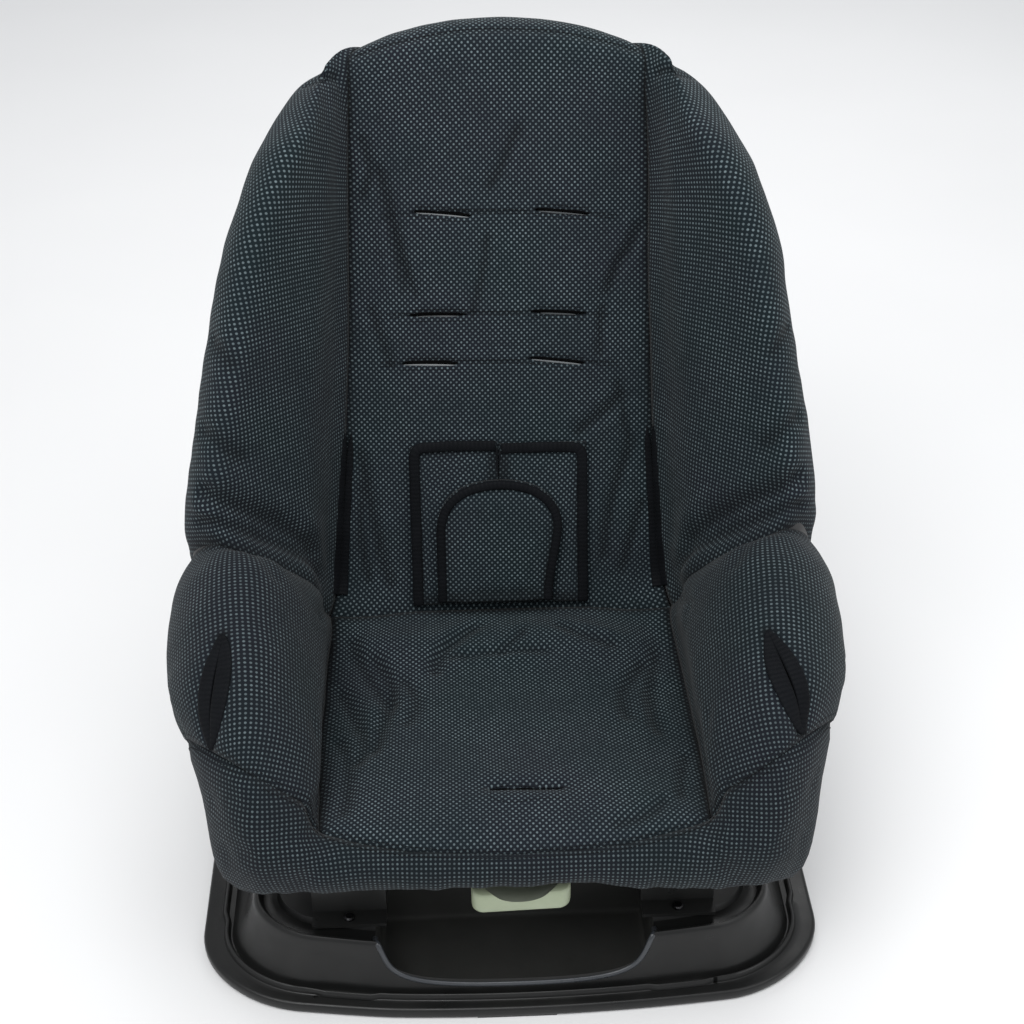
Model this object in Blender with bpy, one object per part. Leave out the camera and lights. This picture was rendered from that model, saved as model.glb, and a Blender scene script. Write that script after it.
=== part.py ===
"""Child car seat: a padded bucket that rocks back on a moulded tray base, released by a lever at its front.

Metres, +Z up, -Y to the front, +X to the seat's own left. The origin is on the ground under the middle.
The bucket, its foam and its covers are layers of one surface, so each is drawn from the same stations:
sections of the seat from its front hem (station 0), over the pan and up the back, to the top's rear hem.
"""

import math

import bmesh
import bpy
from mathutils import Matrix, Vector

# ---- driving dimensions ----------------------------------------------------------------------------------

BACK_TILT = math.radians(20)
BIGHT_Y, BIGHT_Z = 0.050, 0.158  # the line where the back and the seat meet

SHELL_WALL = 0.0035
LAYER_GAP = 0.0025  # between a pad and the shell behind it
STEPS_PER_STATION = 2  # sections drawn from one station to the next

SLOT_WIDTH, SLOT_HEIGHT, SLOT_X = 0.046, 0.008, 0.048  # the shoulder harness slots
SLOT_UP_THE_BACK = (0.213, 0.251, 0.331)
CROTCH_SLOT_Y, CROTCH_SLOT_WIDTH, CROTCH_SLOT_LENGTH = -0.175, 0.055, 0.009
BELT_PATH_X, BELT_PATH_WIDTH, BELT_PATH_Z = 0.131, 0.015, (0.185, 0.285)
GUIDE_X, GUIDE_Y, GUIDE_SLOT = 0.206, -0.150, (0.014, 0.062)
GUIDE_TOP_Z, GUIDE_SLOPE, GUIDE_DEPTH = 0.257, 0.62, 0.022
GUIDE_TURN = math.radians(12)

ROCK_Y, ROCK_Z = 0.015, 0.790  # the centre that the seat rocks about
RAIL_RADIUS, GLIDE_RADIUS, RACK_RADIUS = 0.700, 0.699, 0.710
RAIL_X, RAIL_WIDTH, RAIL_WALL = 0.125, 0.056, 0.004
RAIL_ENDS = (-0.190, 0.200)
GLIDE_ENDS, GLIDE_WIDTH = (-0.110, 0.050), 0.024

BASE_HALF_WIDTH, BASE_FRONT, BASE_REAR = 0.240, -0.2490, 0.240
BASE_CORNER, BASE_BOW, BOW_DEPTH = 0.080, 0.018, 0.10  # the front edge bows forward between its corners
DECK_Z, DECK_WALL = 0.055, 0.0035
GRIP_THICKNESS = 0.0013
RECESS_HALF_WIDTH, RECESS_FRONT, RECESS_SHOULDER, RECESS_REAR = 0.106, -0.2325, -0.2115, -0.150
RECESS_FLOOR, RECESS_WALL = 0.0075, 0.002

BOLT_Y, BOLT_TRAVEL, LEVER_TRAVEL = 0.030, 0.008, 0.010
BOLT_SIZE, BOLT_TIP_Z, BOLT_LENGTH = (0.016, 0.008), 0.0806, 0.025
CROSS_PIN_Z, CROSS_PIN_RADIUS, CROSS_PIN_REACH = 0.0985, 0.0020, 0.0345
LEVER_ARM_X, LEVER_ARM_THICKNESS = 0.0310, 0.003
RECLINE_STEPS = tuple(math.radians(a) for a in (0, 3, 6, 9))

TOUCH = 0.0003  # left between pieces that rest on each other


# ---- materials -------------------------------------------------------------------------------------------


def material(name, colour, roughness, metallic=0.0):
    made = bpy.data.materials.new(name)
    made.use_nodes = True
    shader = made.node_tree.nodes["Principled BSDF"]
    shader.inputs["Base Color"].default_value = (*colour, 1.0)
    shader.inputs["Roughness"].default_value = roughness
    shader.inputs["Metallic"].default_value = metallic
    return made


for leftover in list(bpy.data.objects):
    bpy.data.objects.remove(leftover)

FABRIC = material("dotted_fabric", (0.018, 0.026, 0.034), 0.9)
BINDING = material("black_binding", (0.008, 0.008, 0.010), 0.85)
SHELL_PLASTIC = material("shell_plastic", (0.020, 0.020, 0.022), 0.5)
BASE_PLASTIC = material("base_plastic", (0.012, 0.012, 0.012), 0.4)
LEVER_PLASTIC = material("cream_plastic", (0.62, 0.62, 0.50), 0.4)
FOAM = material("white_foam", (0.75, 0.75, 0.74), 0.9)
STEEL = material("zinc_steel", (0.45, 0.45, 0.47), 0.35, 1.0)
RUBBER = material("grip_rubber", (0.02, 0.02, 0.02), 0.8)
NYLON = material("glide_nylon", (0.30, 0.30, 0.30), 0.5)


# ---- the seat's surface ----------------------------------------------------------------------------------


def back(x, up, out):
    """A point near the back: across, up along it from the bight, and out of it towards the child."""
    y = BIGHT_Y + up * math.sin(BACK_TILT) - out * math.cos(BACK_TILT)
    z = BIGHT_Z + up * math.cos(BACK_TILT) + out * math.sin(BACK_TILT)
    return Vector((x, y, z))


def seat(x, y, z):
    return Vector((x, y, z))


# Each station: middle, panel seam, top of the side, widest point, hem. Then the share of the side's width
# that its slope has covered halfway up, and how thick the padding is against its full thickness.
STATIONS = (
    (seat(0, -0.243, 0.133), seat(0.135, -0.242, 0.124), seat(0.183, -0.237, 0.121),
     seat(0.207, -0.225, 0.118), seat(0.216, -0.203, 0.117), 0.50, 0.30),
    (seat(0, -0.250, 0.150), seat(0.136, -0.249, 0.149), seat(0.185, -0.246, 0.158),
     seat(0.216, -0.215, 0.144), seat(0.216, -0.184, 0.117), 0.35, 0.45),
    (seat(0, -0.244, 0.165), seat(0.137, -0.243, 0.168), seat(0.188, -0.240, 0.193),
     seat(0.222, -0.200, 0.172), seat(0.218, -0.165, 0.118), 0.34, 0.55),
    (seat(0, -0.220, 0.175), seat(0.138, -0.216, 0.175), seat(0.190, -0.220, 0.226),
     seat(0.231, -0.177, 0.198), seat(0.222, -0.142, 0.119), 0.20, 0.75),
    (seat(0, -0.165, 0.169), seat(0.140, -0.165, 0.168), seat(0.192, -0.180, 0.255),
     seat(0.243, -0.139, 0.222), seat(0.228, -0.110, 0.121), 0.13, 1.0),
    (seat(0, -0.105, 0.159), seat(0.141, -0.110, 0.160), seat(0.192, -0.130, 0.276),
     seat(0.248, -0.096, 0.238), seat(0.233, -0.075, 0.123), 0.10, 1.0),
    (seat(0, -0.045, 0.152), seat(0.141, -0.055, 0.154), seat(0.193, -0.080, 0.287),
     seat(0.250, -0.050, 0.246), seat(0.239, -0.035, 0.126), 0.10, 1.0),
    (seat(0, 0.010, 0.151), seat(0.139, 0.000, 0.155), seat(0.196, -0.045, 0.289),
     seat(0.249, -0.018, 0.249), seat(0.242, 0.010, 0.134), 0.13, 1.0),
    (seat(0, 0.046, 0.159), seat(0.136, 0.035, 0.166), seat(0.206, -0.030, 0.289),
     seat(0.248, -0.003, 0.256), seat(0.242, 0.046, 0.162), 0.20, 1.0),
    (back(0, 0.028, 0), back(0.134, 0.026, 0), seat(0.215, -0.021, 0.300),
     seat(0.247, 0.003, 0.273), seat(0.242, 0.057, 0.204), 0.28, 1.0),
    (back(0, 0.070, 0), back(0.131, 0.068, 0), back(0.219, 0.133, 0.115),
     back(0.245, 0.125, 0.089), seat(0.240, 0.058, 0.252), 0.33, 1.0),
    (back(0, 0.120, 0), back(0.127, 0.118, 0), back(0.215, 0.169, 0.115),
     back(0.240, 0.163, 0.089), back(0.236, 0.145, 0.044), 0.36, 1.0),
    (back(0, 0.175, 0), back(0.123, 0.173, 0), back(0.207, 0.209, 0.114),
     back(0.232, 0.205, 0.088), back(0.228, 0.190, 0.045), 0.38, 1.0),
    (back(0, 0.235, 0), back(0.120, 0.233, 0), back(0.197, 0.257, 0.111),
     back(0.222, 0.254, 0.085), back(0.218, 0.245, 0.044), 0.38, 1.0),
    (back(0, 0.295, 0), back(0.118, 0.291, 0), back(0.186, 0.305, 0.105),
     back(0.211, 0.303, 0.079), back(0.207, 0.297, 0.040), 0.38, 1.0),
    (back(0, 0.350, 0), back(0.117, 0.344, 0), back(0.172, 0.349, 0.092),
     back(0.197, 0.347, 0.068), back(0.194, 0.341, 0.030), 0.40, 1.0),
    (back(0, 0.397, 0), back(0.116, 0.387, 0), back(0.158, 0.385, 0.072),
     back(0.184, 0.381, 0.048), back(0.182, 0.375, 0.014), 0.44, 0.8),
    (back(0, 0.435, 0), back(0.114, 0.420, 0), back(0.146, 0.410, 0.046),
     back(0.172, 0.405, 0.025), back(0.170, 0.396, -0.006), 0.48, 0.6),
    (back(0, 0.463, -0.003), back(0.110, 0.445, -0.001), back(0.135, 0.431, 0.024),
     back(0.161, 0.422, 0.005), back(0.160, 0.410, -0.022), 0.50, 0.42),
    (back(0, 0.477, -0.020), back(0.106, 0.458, -0.017), back(0.128, 0.444, -0.001),
     back(0.152, 0.432, -0.016), back(0.152, 0.417, -0.036), 0.50, 0.32),
    (back(0, 0.474, -0.039), back(0.102, 0.455, -0.036), back(0.122, 0.440, -0.022),
     back(0.142, 0.429, -0.031), back(0.143, 0.414, -0.044), 0.50, 0.27),
    (back(0, 0.446, -0.051), back(0.100, 0.430, -0.048), back(0.118, 0.420, -0.037),
     back(0.130, 0.411, -0.043), back(0.132, 0.400, -0.051), 0.50, 0.25),
)
SEAM, SIDE_TOP, HEM = 2, 4, 6  # columns: the panel's seam, the top of the side, and the hem, which is the last
LAST = len(STATIONS) - 1
SKIRT_END, PAN_START, PAN_END, BACK_START = 2.0, 2.1, 7.88, 8.12  # where the covers' pieces meet
SEAM_GAP = 0.06
PAD_ACROSS = (0.020, 0.020, 0.015, 0.012, 0.0040, 0.0030, 0.0030)  # full padding on each of those lines


def heading(points, i):
    """Which way the line runs at its point i, no longer than the shorter step beside it, to avoid overshoot."""
    before, after = points[max(i - 1, 0)], points[min(i + 1, len(points) - 1)]
    shorter = min((p - points[i]).length for p in (before, after) if p is not points[i])
    return (after - before).normalized() * shorter


def spline(points, at):
    """A smooth line through points that stand one step apart, read at `at` steps."""
    i = min(max(int(at), 0), len(points) - 2)
    f = at - i
    start, end = points[i], points[i + 1]
    bend = heading(points, i) * (1 - f) - heading(points, i + 1) * f
    straight = end - start
    ease = f * f * (3 - 2 * f)
    return start + straight * ease + bend * (f * (1 - f))


def between(values, at):
    i = min(int(at), len(values) - 2)
    return values[i] + (values[i + 1] - values[i]) * (at - i)


def station_lines(station):
    middle, seam, side_top, widest, hem, slope_share, _ = station
    slope = seam.lerp(side_top, 0.5)
    slope.x = seam.x + slope_share * (side_top.x - seam.x)
    halfway = seam.lerp(middle, 0.75)
    halfway.x = seam.x / 2
    return (middle, halfway, seam, slope, side_top, widest, hem)


LINES = tuple(zip(*(station_lines(s) for s in STATIONS)))
PAD_ALONG = tuple(s[6] for s in STATIONS)


def surface(row, column):
    """The covers' outer surface. Rows count stations, and columns count lines, negative on the -X side."""
    half = [spline(line, row) for line in LINES]
    mirrored = [Vector((-p.x, p.y, p.z)) for p in half[:0:-1]]
    return spline(mirrored + half, column + HEM)


def facing(row, column):
    """Which way the surface faces. At a hem it is read just inside it, where the lines are well apart."""
    step = 0.35
    row = min(max(row, 0.35), LAST - 0.1)
    column = min(max(column, -HEM + 0.4), HEM - 0.4)
    along = surface(min(row + step, LAST), column) - surface(max(row - step, 0), column)
    across = surface(row, min(column + step, HEM)) - surface(row, max(column - step, -HEM))
    return across.cross(along).normalized()


def padding(row, column):
    """How far the shell's padding reaches behind the covers' surface."""
    return between(PAD_ALONG, row) * between(PAD_ACROSS, abs(column))


def rows_between(low, high):
    """Low, high, each half station between, and the rows where layers end, which keeps layers parallel."""
    inner = [i / STEPS_PER_STATION for i in range(LAST * STEPS_PER_STATION + 1)]
    inner += [SKIRT_END, PAN_START, PAN_END, BACK_START]
    return sorted({low, high, *(row for row in inner if low < row < high)})


def columns_between(low, high):
    """The same across: half steps on the sides, and whole steps on the flat panel."""
    half = [0, 1, SEAM - SEAM_GAP, SEAM, SEAM + SEAM_GAP, 2.5, 3, 3.5, 4, 4.5, 5, 5.5]
    inner = [side * column for column in half for side in (-1, 1)]
    return sorted({low, high, *(column for column in inner if low < column < high)})


# ---- solids ----------------------------------------------------------------------------------------------


def add_object(name, mesh, finish):
    made = bpy.data.objects.new(name, mesh)
    bpy.context.scene.collection.objects.link(made)
    if finish:
        mesh.materials.append(finish)
    return made


def face_outwards(shape):
    bmesh.ops.recalc_face_normals(shape, faces=shape.faces)
    if shape.calc_volume(signed=True) < 0:
        bmesh.ops.reverse_faces(shape, faces=shape.faces)


def add_faces(name, points, faces, finish, smooth=False):
    mesh = bpy.data.meshes.new(name)
    mesh.from_pydata([tuple(p) for p in points], [], faces)
    shape = bmesh.new()
    shape.from_mesh(mesh)
    face_outwards(shape)
    shape.to_mesh(mesh)
    shape.free()
    if smooth:
        mesh.shade_smooth()
        mesh.set_sharp_from_angle(angle=math.radians(40))
    return add_object(name, mesh, finish)


def full_width(row):
    return 1.0


def rounded_top(row):
    """The shell's share of the full width: all of it to the shoulders, then less and less to its top edge."""
    t = min(max((row - ROUNDED_FROM) / ROUNDED_ROWS, 0), 1)
    return 1 - ROUNDED_AWAY * t * t * (3 - 2 * t)


def relaxed(grid, row_list):
    """The grid with its creases above the shoulders eased, as a moulding's are."""
    for _ in range(EASING_PASSES):
        eased = [list(line) for line in grid]
        for i in range(1, len(grid) - 1):
            share = min(max((row_list[i] - EASED_ABOVE) / 2, 0), 1) * 0.5
            for j in range(1, len(grid[i]) - 1):
                around = (grid[i - 1][j] + grid[i + 1][j] + grid[i][j - 1] + grid[i][j + 1]) / 4
                eased[i][j] = grid[i][j].lerp(around, share)
            for j in (0, len(grid[i]) - 1):
                eased[i][j] = grid[i][j].lerp((grid[i - 1][j] + grid[i + 1][j]) / 2, share)
        grid = eased
    return grid


def thickened(grid, wall):
    """The grid moved behind itself by the wall's thickness."""
    moved = []
    for i, line in enumerate(grid):
        above, below = grid[min(i + 1, len(grid) - 1)], grid[max(i - 1, 0)]
        for j, point in enumerate(line):
            across = line[min(j + 1, len(line) - 1)] - line[max(j - 1, 0)]
            moved.append(point - across.cross(above[j] - below[j]).normalized() * wall)
    return moved


EASED_ABOVE, EASING_PASSES = 10.0, 4
SEAM_DEPTH, SEAM_REACH = 0.0080, 1.6  # how much deeper the shell is behind the seams, over how many columns
ROUNDED_FROM, ROUNDED_ROWS, ROUNDED_AWAY = 13.5, 4.1, 0.70


def layer(name, rows, columns, near, far, finish, width=full_width, moulded=False):
    """A closed layer of the seat over those rows and columns, from near to far below its surface."""
    row_list = rows_between(*rows)
    column_list = columns_between(*columns)
    high, wide = len(row_list), len(column_list)
    skins = []
    for depth in (near, far):
        skin = []
        for row in row_list:
            here = [c * width(row) for c in column_list]
            skin.append([surface(row, c) - facing(row, c) * depth(row, c) for c in here])
        skins.append(skin)
    points = [p for skin in skins for line in skin for p in line]
    if moulded:
        front = relaxed(skins[0], row_list)
        behind = thickened(front, SHELL_WALL)
        for i, row in enumerate(row_list):
            if row < EASED_ABOVE:
                behind[i * wide : (i + 1) * wide] = skins[1][i]
        points = [p for line in front for p in line] + behind

    def at(side, i, j):
        return side * high * wide + i * wide + j

    faces = []
    for i in range(high - 1):
        for j in range(wide - 1):
            for side in (0, 1):
                faces.append([at(side, i, j), at(side, i, j + 1), at(side, i + 1, j + 1), at(side, i + 1, j)])
    for j in range(wide - 1):
        for i in (0, high - 1):
            faces.append([at(0, i, j), at(0, i, j + 1), at(1, i, j + 1), at(1, i, j)])
    for i in range(high - 1):
        for j in (0, wide - 1):
            faces.append([at(0, i, j), at(0, i + 1, j), at(1, i + 1, j), at(1, i, j)])
    return add_faces(name, points, faces, finish, smooth=True)


def prism(name, outline, thickness, finish, along="X", centre=0.0):
    """An outline of (y, z) pairs drawn out along X, or of (x, y) pairs drawn out along Z."""
    count = len(outline)
    points = []
    for end in (centre - thickness / 2, centre + thickness / 2):
        points += [(end, a, b) if along == "X" else (a, b, end) for a, b in outline]
    faces = [list(range(count)), list(range(count, 2 * count))]
    faces += [[i, (i + 1) % count, count + (i + 1) % count, count + i] for i in range(count)]
    return add_faces(name, points, faces, finish)


def box(name, low, high, finish, bevel=0.0):
    points = [(x, y, z) for x in (low[0], high[0]) for y in (low[1], high[1]) for z in (low[2], high[2])]
    faces = [(0, 1, 3, 2), (4, 6, 7, 5), (0, 4, 5, 1), (2, 3, 7, 6), (0, 2, 6, 4), (1, 5, 7, 3)]
    made = add_faces(name, points, faces, finish)
    if bevel:
        soften(made, bevel)
    return made


def soften(piece, width, segments=2):
    rounding = piece.modifiers.new("Bevel", "BEVEL")
    rounding.width = width
    rounding.segments = segments
    rounding.limit_method = "ANGLE"


def round_bar(name, start, end, radius, finish, sides=12):
    axis = (Vector(end) - Vector(start)).normalized()
    turn = Vector((0, 0, 1)).rotation_difference(axis)
    ring = [Vector((math.cos(a), math.sin(a), 0)) * radius for a in turns(sides)]
    points = [Vector(p) + turn @ q for p in (start, end) for q in ring]
    faces = [list(range(sides)), list(range(sides, 2 * sides))]
    faces += [[i, (i + 1) % sides, sides + (i + 1) % sides, sides + i] for i in range(sides)]
    return add_faces(name, points, faces, finish, smooth=True)


def turns(count):
    return [2 * math.pi * i / count for i in range(count)]


def stacked(name, rings, finish, smooth=False, closed=False):
    """A solid through rings of equal length: capped at both ends, or closed from its last ring to its first."""
    count = len(rings[0])
    points = [p for ring in rings for p in ring]
    pairs = list(zip(range(len(rings) - 1), range(1, len(rings))))
    faces = []
    if closed:
        pairs.append((len(rings) - 1, 0))
    else:
        faces = [list(range(count)), list(range(len(points) - count, len(points)))]
    for a, b in pairs:
        for i in range(count):
            j = (i + 1) % count
            faces.append([a * count + i, a * count + j, b * count + j, b * count + i])
    return add_faces(name, points, faces, finish, smooth)


def helper(piece):
    piece.hide_render = True
    piece.display_type = "WIRE"
    return piece


def combine(piece, other, operation="DIFFERENCE"):
    change = piece.modifiers.new(operation.title(), "BOOLEAN")
    change.operation = operation
    change.object = helper(other)


def joined_boxes(name, boxes):
    """Several boxes that stand apart, as one cutter."""
    points, faces = [], []
    for low, high in boxes:
        first = len(points)
        points += [(x, y, z) for x in (low[0], high[0]) for y in (low[1], high[1]) for z in (low[2], high[2])]
        sides = [(0, 1, 3, 2), (4, 6, 7, 5), (0, 4, 5, 1), (2, 3, 7, 6), (0, 2, 6, 4), (1, 5, 7, 3)]
        faces += [[first + i for i in side] for side in sides]
    return helper(add_faces(name, points, faces, None))


# ---- cutters through the shell and its layers ------------------------------------------------------------


def harness_slot_cutter():
    boxes = []
    for up in SLOT_UP_THE_BACK:
        middle = back(0, up, -0.012)
        for x in (-SLOT_X, SLOT_X):
            low = (x - SLOT_WIDTH / 2, middle.y - 0.06, middle.z - SLOT_HEIGHT / 2)
            high = (x + SLOT_WIDTH / 2, middle.y + 0.10, middle.z + SLOT_HEIGHT / 2)
            boxes.append((low, high))
    return joined_boxes("cut_harness_slots", boxes)


def crotch_slot_cutter():
    half_x, half_y = CROTCH_SLOT_WIDTH / 2, CROTCH_SLOT_LENGTH / 2
    low = (-half_x, CROTCH_SLOT_Y - half_y, 0.12)
    return joined_boxes("cut_crotch_slot", [(low, (half_x, CROTCH_SLOT_Y + half_y, 0.20))])


def belt_path_cutter():
    boxes = []
    for side in (-1, 1):
        ends = sorted(side * (BELT_PATH_X + d * BELT_PATH_WIDTH / 2) for d in (-1, 1))
        boxes.append(((ends[0], 0.02, BELT_PATH_Z[0]), (ends[1], 0.22, BELT_PATH_Z[1])))
    return joined_boxes("cut_belt_paths", boxes)


def guide_outline(side, shrink, bulge=4):
    """A slim slot's outline in plan, with round ends, turned out towards the front."""
    half_x, half_y = GUIDE_SLOT[0] / 2 - shrink, GUIDE_SLOT[1] / 2 - shrink
    points = []
    for end in (1, -1):
        for i in range(bulge + 1):
            a = math.pi * i / bulge
            points.append((end * half_x * math.cos(a), end * (half_y - half_x + half_x * math.sin(a))))
    turned = []
    for x, y in points:
        across = x * math.cos(GUIDE_TURN) - y * math.sin(GUIDE_TURN)
        along = x * math.sin(GUIDE_TURN) + y * math.cos(GUIDE_TURN)
        turned.append((side * (GUIDE_X + across), GUIDE_Y + along))
    return turned


def guide_slot_cutter(side):
    name = "cut_guide_right" if side < 0 else "cut_guide_left"
    return helper(prism(name, guide_outline(side, 0.0), 0.20, None, along="Z", centre=0.25))


# ---- the seat: shell, foam and covers --------------------------------------------------------------------


def nothing(row, column):
    return 0.0


def behind_padding(row, column):
    """Where the shell's face is: clear of the padding, and deeper along the seams above the shoulders."""
    above = min(max((row - EASED_ABOVE) / 3, 0), 1)
    near_seam = max(0, 1 - abs(abs(column) - SEAM) / SEAM_REACH)
    return padding(row, column) + LAYER_GAP + SEAM_DEPTH * above * near_seam


def behind_shell(row, column):
    return behind_padding(row, column) + SHELL_WALL


def share_of_padding(share):
    return lambda row, column: share * padding(row, column)


def make_bucket():
    slots, crotch, belts = harness_slot_cutter(), crotch_slot_cutter(), belt_path_cutter()
    guides = [guide_slot_cutter(side) for side in (-1, 1)]

    shell = layer(
        "seat_shell", (0.6, 17.7), (-HEM + 0.2, HEM - 0.2),
        behind_padding, behind_shell, SHELL_PLASTIC, rounded_top, True,
    )
    for cutter in (slots, crotch, belts, *guides):
        combine(shell, cutter)

    seat_pad = layer(
        "seat_pad", (PAN_START, PAN_END), (-SEAM + SEAM_GAP, SEAM - SEAM_GAP),
        nothing, share_of_padding(1), FABRIC,
    )
    combine(seat_pad, crotch)
    layer(
        "cover_skirt", (0, SKIRT_END), (-HEM, HEM), nothing, share_of_padding(0.8), FABRIC,
    )
    back_pad = layer(
        "back_pad", (BACK_START, LAST), (-SEAM + SEAM_GAP, SEAM - SEAM_GAP),
        nothing, share_of_padding(0.55), FABRIC,
    )
    head_liner = layer(
        "head_foam_liner", (13.5, 17.0), (-SEAM + 0.3, SEAM - 0.3),
        share_of_padding(0.66), share_of_padding(0.88), FOAM,
    )
    for piece in (back_pad, head_liner):
        combine(piece, slots)
    combine(back_pad, belts)

    for side, hand, guide in ((-1, "right", guides[0]), (1, "left", guides[1])):
        def span(low, high):
            return (low, high) if side > 0 else (-high, -low)

        arm = layer(
            f"arm_pad_{hand}", (PAN_START, PAN_END), span(SEAM + SEAM_GAP, HEM),
            nothing, share_of_padding(1), FABRIC,
        )
        combine(arm, guide)
        wing = layer(
            f"wing_pad_{hand}", (BACK_START, LAST), span(SEAM + SEAM_GAP, HEM),
            nothing, share_of_padding(0.5), FABRIC,
        )
        combine(wing, belts)
        layer(
            f"wing_foam_{hand}", (10.5, 14.5), span(SEAM + 0.3, SIDE_TOP),
            share_of_padding(0.56), share_of_padding(0.92), FOAM,
        )


def make_belt_guide(side):
    """A moulded liner for the slot in the armrest, its top sloping down with the armrest."""
    hand = "right" if side < 0 else "left"
    outer, inner = guide_outline(side, TOUCH), guide_outline(side, 0.0020)

    def ring(outline, drop):
        return [(x, y, GUIDE_TOP_Z + GUIDE_SLOPE * (y - GUIDE_Y) - drop) for x, y in outline]

    rings = [ring(outer, 0), ring(inner, 0), ring(inner, GUIDE_DEPTH), ring(outer, GUIDE_DEPTH)]
    stacked(f"belt_guide_{hand}", rings, BINDING, closed=True)


def panel_on_back(name, outline, out_low, out_high, finish):
    """A flat panel in front of the back, from an outline of (x, up) pairs."""
    rings = [[back(x, up, out) for x, up in outline] for out in (out_low, out_high)]
    return stacked(name, rings, finish)


FLAP_HALF_WIDTH, FLAP_FOOT, FLAP_TOP, FLAP_OUT = 0.073, 0.026, 0.140, (0.0026, 0.0058)
CROTCH_PAD_HALF_WIDTH, CROTCH_PAD_FOOT, CROTCH_PAD_TOP = 0.052, 0.018, 0.108
CROTCH_PAD_OUT = (0.0065, 0.0145)


def make_flaps():
    """The two flaps over the belt path's access hole, and the crotch pad that stands in front of them."""
    for side, hand in ((-1, "right"), (1, "left")):
        inner, outer = side * 0.0006, side * FLAP_HALF_WIDTH
        outline = [(inner, FLAP_FOOT), (outer, FLAP_FOOT), (outer, FLAP_TOP), (inner, FLAP_TOP)]
        panel_on_back(f"belt_flap_{hand}", outline, *FLAP_OUT, FABRIC)

    radius = CROTCH_PAD_HALF_WIDTH
    foot = radius * 0.86
    outline = [(-foot, CROTCH_PAD_FOOT), (foot, CROTCH_PAD_FOOT)]
    outline += [
        (radius * math.cos(a), CROTCH_PAD_TOP - radius + radius * math.sin(a))
        for a in (math.pi * i / 10 for i in range(11))
    ]
    panel_on_back("crotch_pad", outline, *CROTCH_PAD_OUT, FABRIC)


# ---- the rocking base ------------------------------------------------------------------------------------


def arc_z(y, radius):
    """Height of a cradle of that radius under the rocking centre."""
    return ROCK_Z - math.sqrt(radius**2 - (y - ROCK_Y) ** 2)


def base_ring(side_inset, end_inset, z, per_corner=7):
    """One outline of the tray: a rectangle with round corners whose front edge bows forward."""
    half = BASE_HALF_WIDTH - side_inset
    front, rear = BASE_FRONT + end_inset, BASE_REAR - end_inset
    radius = BASE_CORNER - 0.5 * (side_inset + end_inset)
    points = []
    corners = ((1, 1, 0), (-1, 1, 90), (-1, -1, 180), (1, -1, 270))
    for sx, sy, first in corners:
        cx = sx * (half - radius)
        cy = (rear if sy > 0 else front) - sy * radius
        for i in range(per_corner):
            a = math.radians(first + 90 * i / (per_corner - 1))
            points.append((cx + radius * math.cos(a), cy + radius * math.sin(a)))
        if sy < 0 and sx < 0:
            points += [(-half * k, front) for k in (0.4, 0.15, -0.15, -0.4)]
    bowed = []
    for x, y in points:
        share = max(0.0, 1 - (y - front) / BOW_DEPTH)
        bowed.append((x, y + BASE_BOW * (x / half) ** 2 * share, z))
    return bowed


def recess_outline(inset):
    """The finger recess in plan: a D whose front follows the tray."""
    half, steps, fullness = RECESS_HALF_WIDTH - inset, 12, 0.8
    points = [(half, RECESS_REAR - inset), (half, RECESS_SHOULDER)]
    for i in range(1, steps):
        a = math.pi * i / steps
        depth = (RECESS_SHOULDER - (RECESS_FRONT + inset)) * math.sin(a) ** fullness
        points.append((half * math.cos(a), RECESS_SHOULDER - depth))
    points += [(-half, RECESS_SHOULDER), (-half, RECESS_REAR - inset)]
    return points


def make_tray():
    bottom = GRIP_THICKNESS + TOUCH
    steps = (
        (0.000, 0.000, bottom), (0.000, 0.000, 0.0085), (0.0015, 0.001, 0.0100),
        (0.0165, 0.0095, 0.0100), (0.0175, 0.0101, 0.0145), (0.0195, 0.0121, 0.0145),
        (0.0205, 0.0131, 0.0092), (0.0230, 0.0141, 0.0098), (0.0420, 0.0305, 0.0500),
        (0.0470, 0.0345, DECK_Z),
        (0.0510, 0.0380, DECK_Z - DECK_WALL), (0.0450, 0.0335, 0.0470),
        (0.0265, 0.0175, 0.0070), (0.0225, 0.0155, bottom),
    )
    rings = [base_ring(*step) for step in steps]
    top = len(steps) - 4
    count = len(rings[0])
    tray = stacked("base_tray", rings, BASE_PLASTIC, closed=True)
    # The deck's two skins close the ring of walls.
    mesh = tray.data
    shape = bmesh.new()
    shape.from_mesh(mesh)
    shape.verts.ensure_lookup_table()
    bridge = [f for f in shape.faces if {v.index // count for v in f.verts} == {top - 1, top}]
    bmesh.ops.delete(shape, geom=bridge, context="FACES_ONLY")
    shape.verts.ensure_lookup_table()
    for ring in (top - 1, top):
        shape.faces.new([shape.verts[ring * count + i] for i in range(count)])
    face_outwards(shape)
    shape.to_mesh(mesh)
    shape.free()

    return tray


def upright(name, outline, low, high):
    """A helper solid over an outline, from low to high."""
    return prism(name, outline, high - low, None, along="Z", centre=(low + high) / 2)


def sink_recess(tray):
    """A block under the recess is added first, trimmed to the tray's walls, and the recess is cut after it."""
    trim = stacked("trim_to_tray", [base_ring(0.026, 0.0150, 0.002), base_ring(0.0435, 0.0320, 0.0515)], None)
    block = upright("recess_block", recess_outline(0.0), RECESS_FLOOR - 0.0033, DECK_Z - DECK_WALL + 0.0002)
    combine(block, trim, "INTERSECT")
    combine(tray, block, "UNION")
    opening = upright("cut_recess", recess_outline(RECESS_WALL), RECESS_FLOOR, DECK_Z + 0.03)
    combine(tray, opening)


def drill_screw_holes(tray, places):
    for i, (x, y) in enumerate(places):
        low, high = (x, y, DECK_Z - 0.025), (x, y, DECK_Z + 0.025)
        combine(tray, round_bar(f"cut_screw_{i}", low, high, SCREW_RADIUS + TOUCH, None, sides=8))


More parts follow.
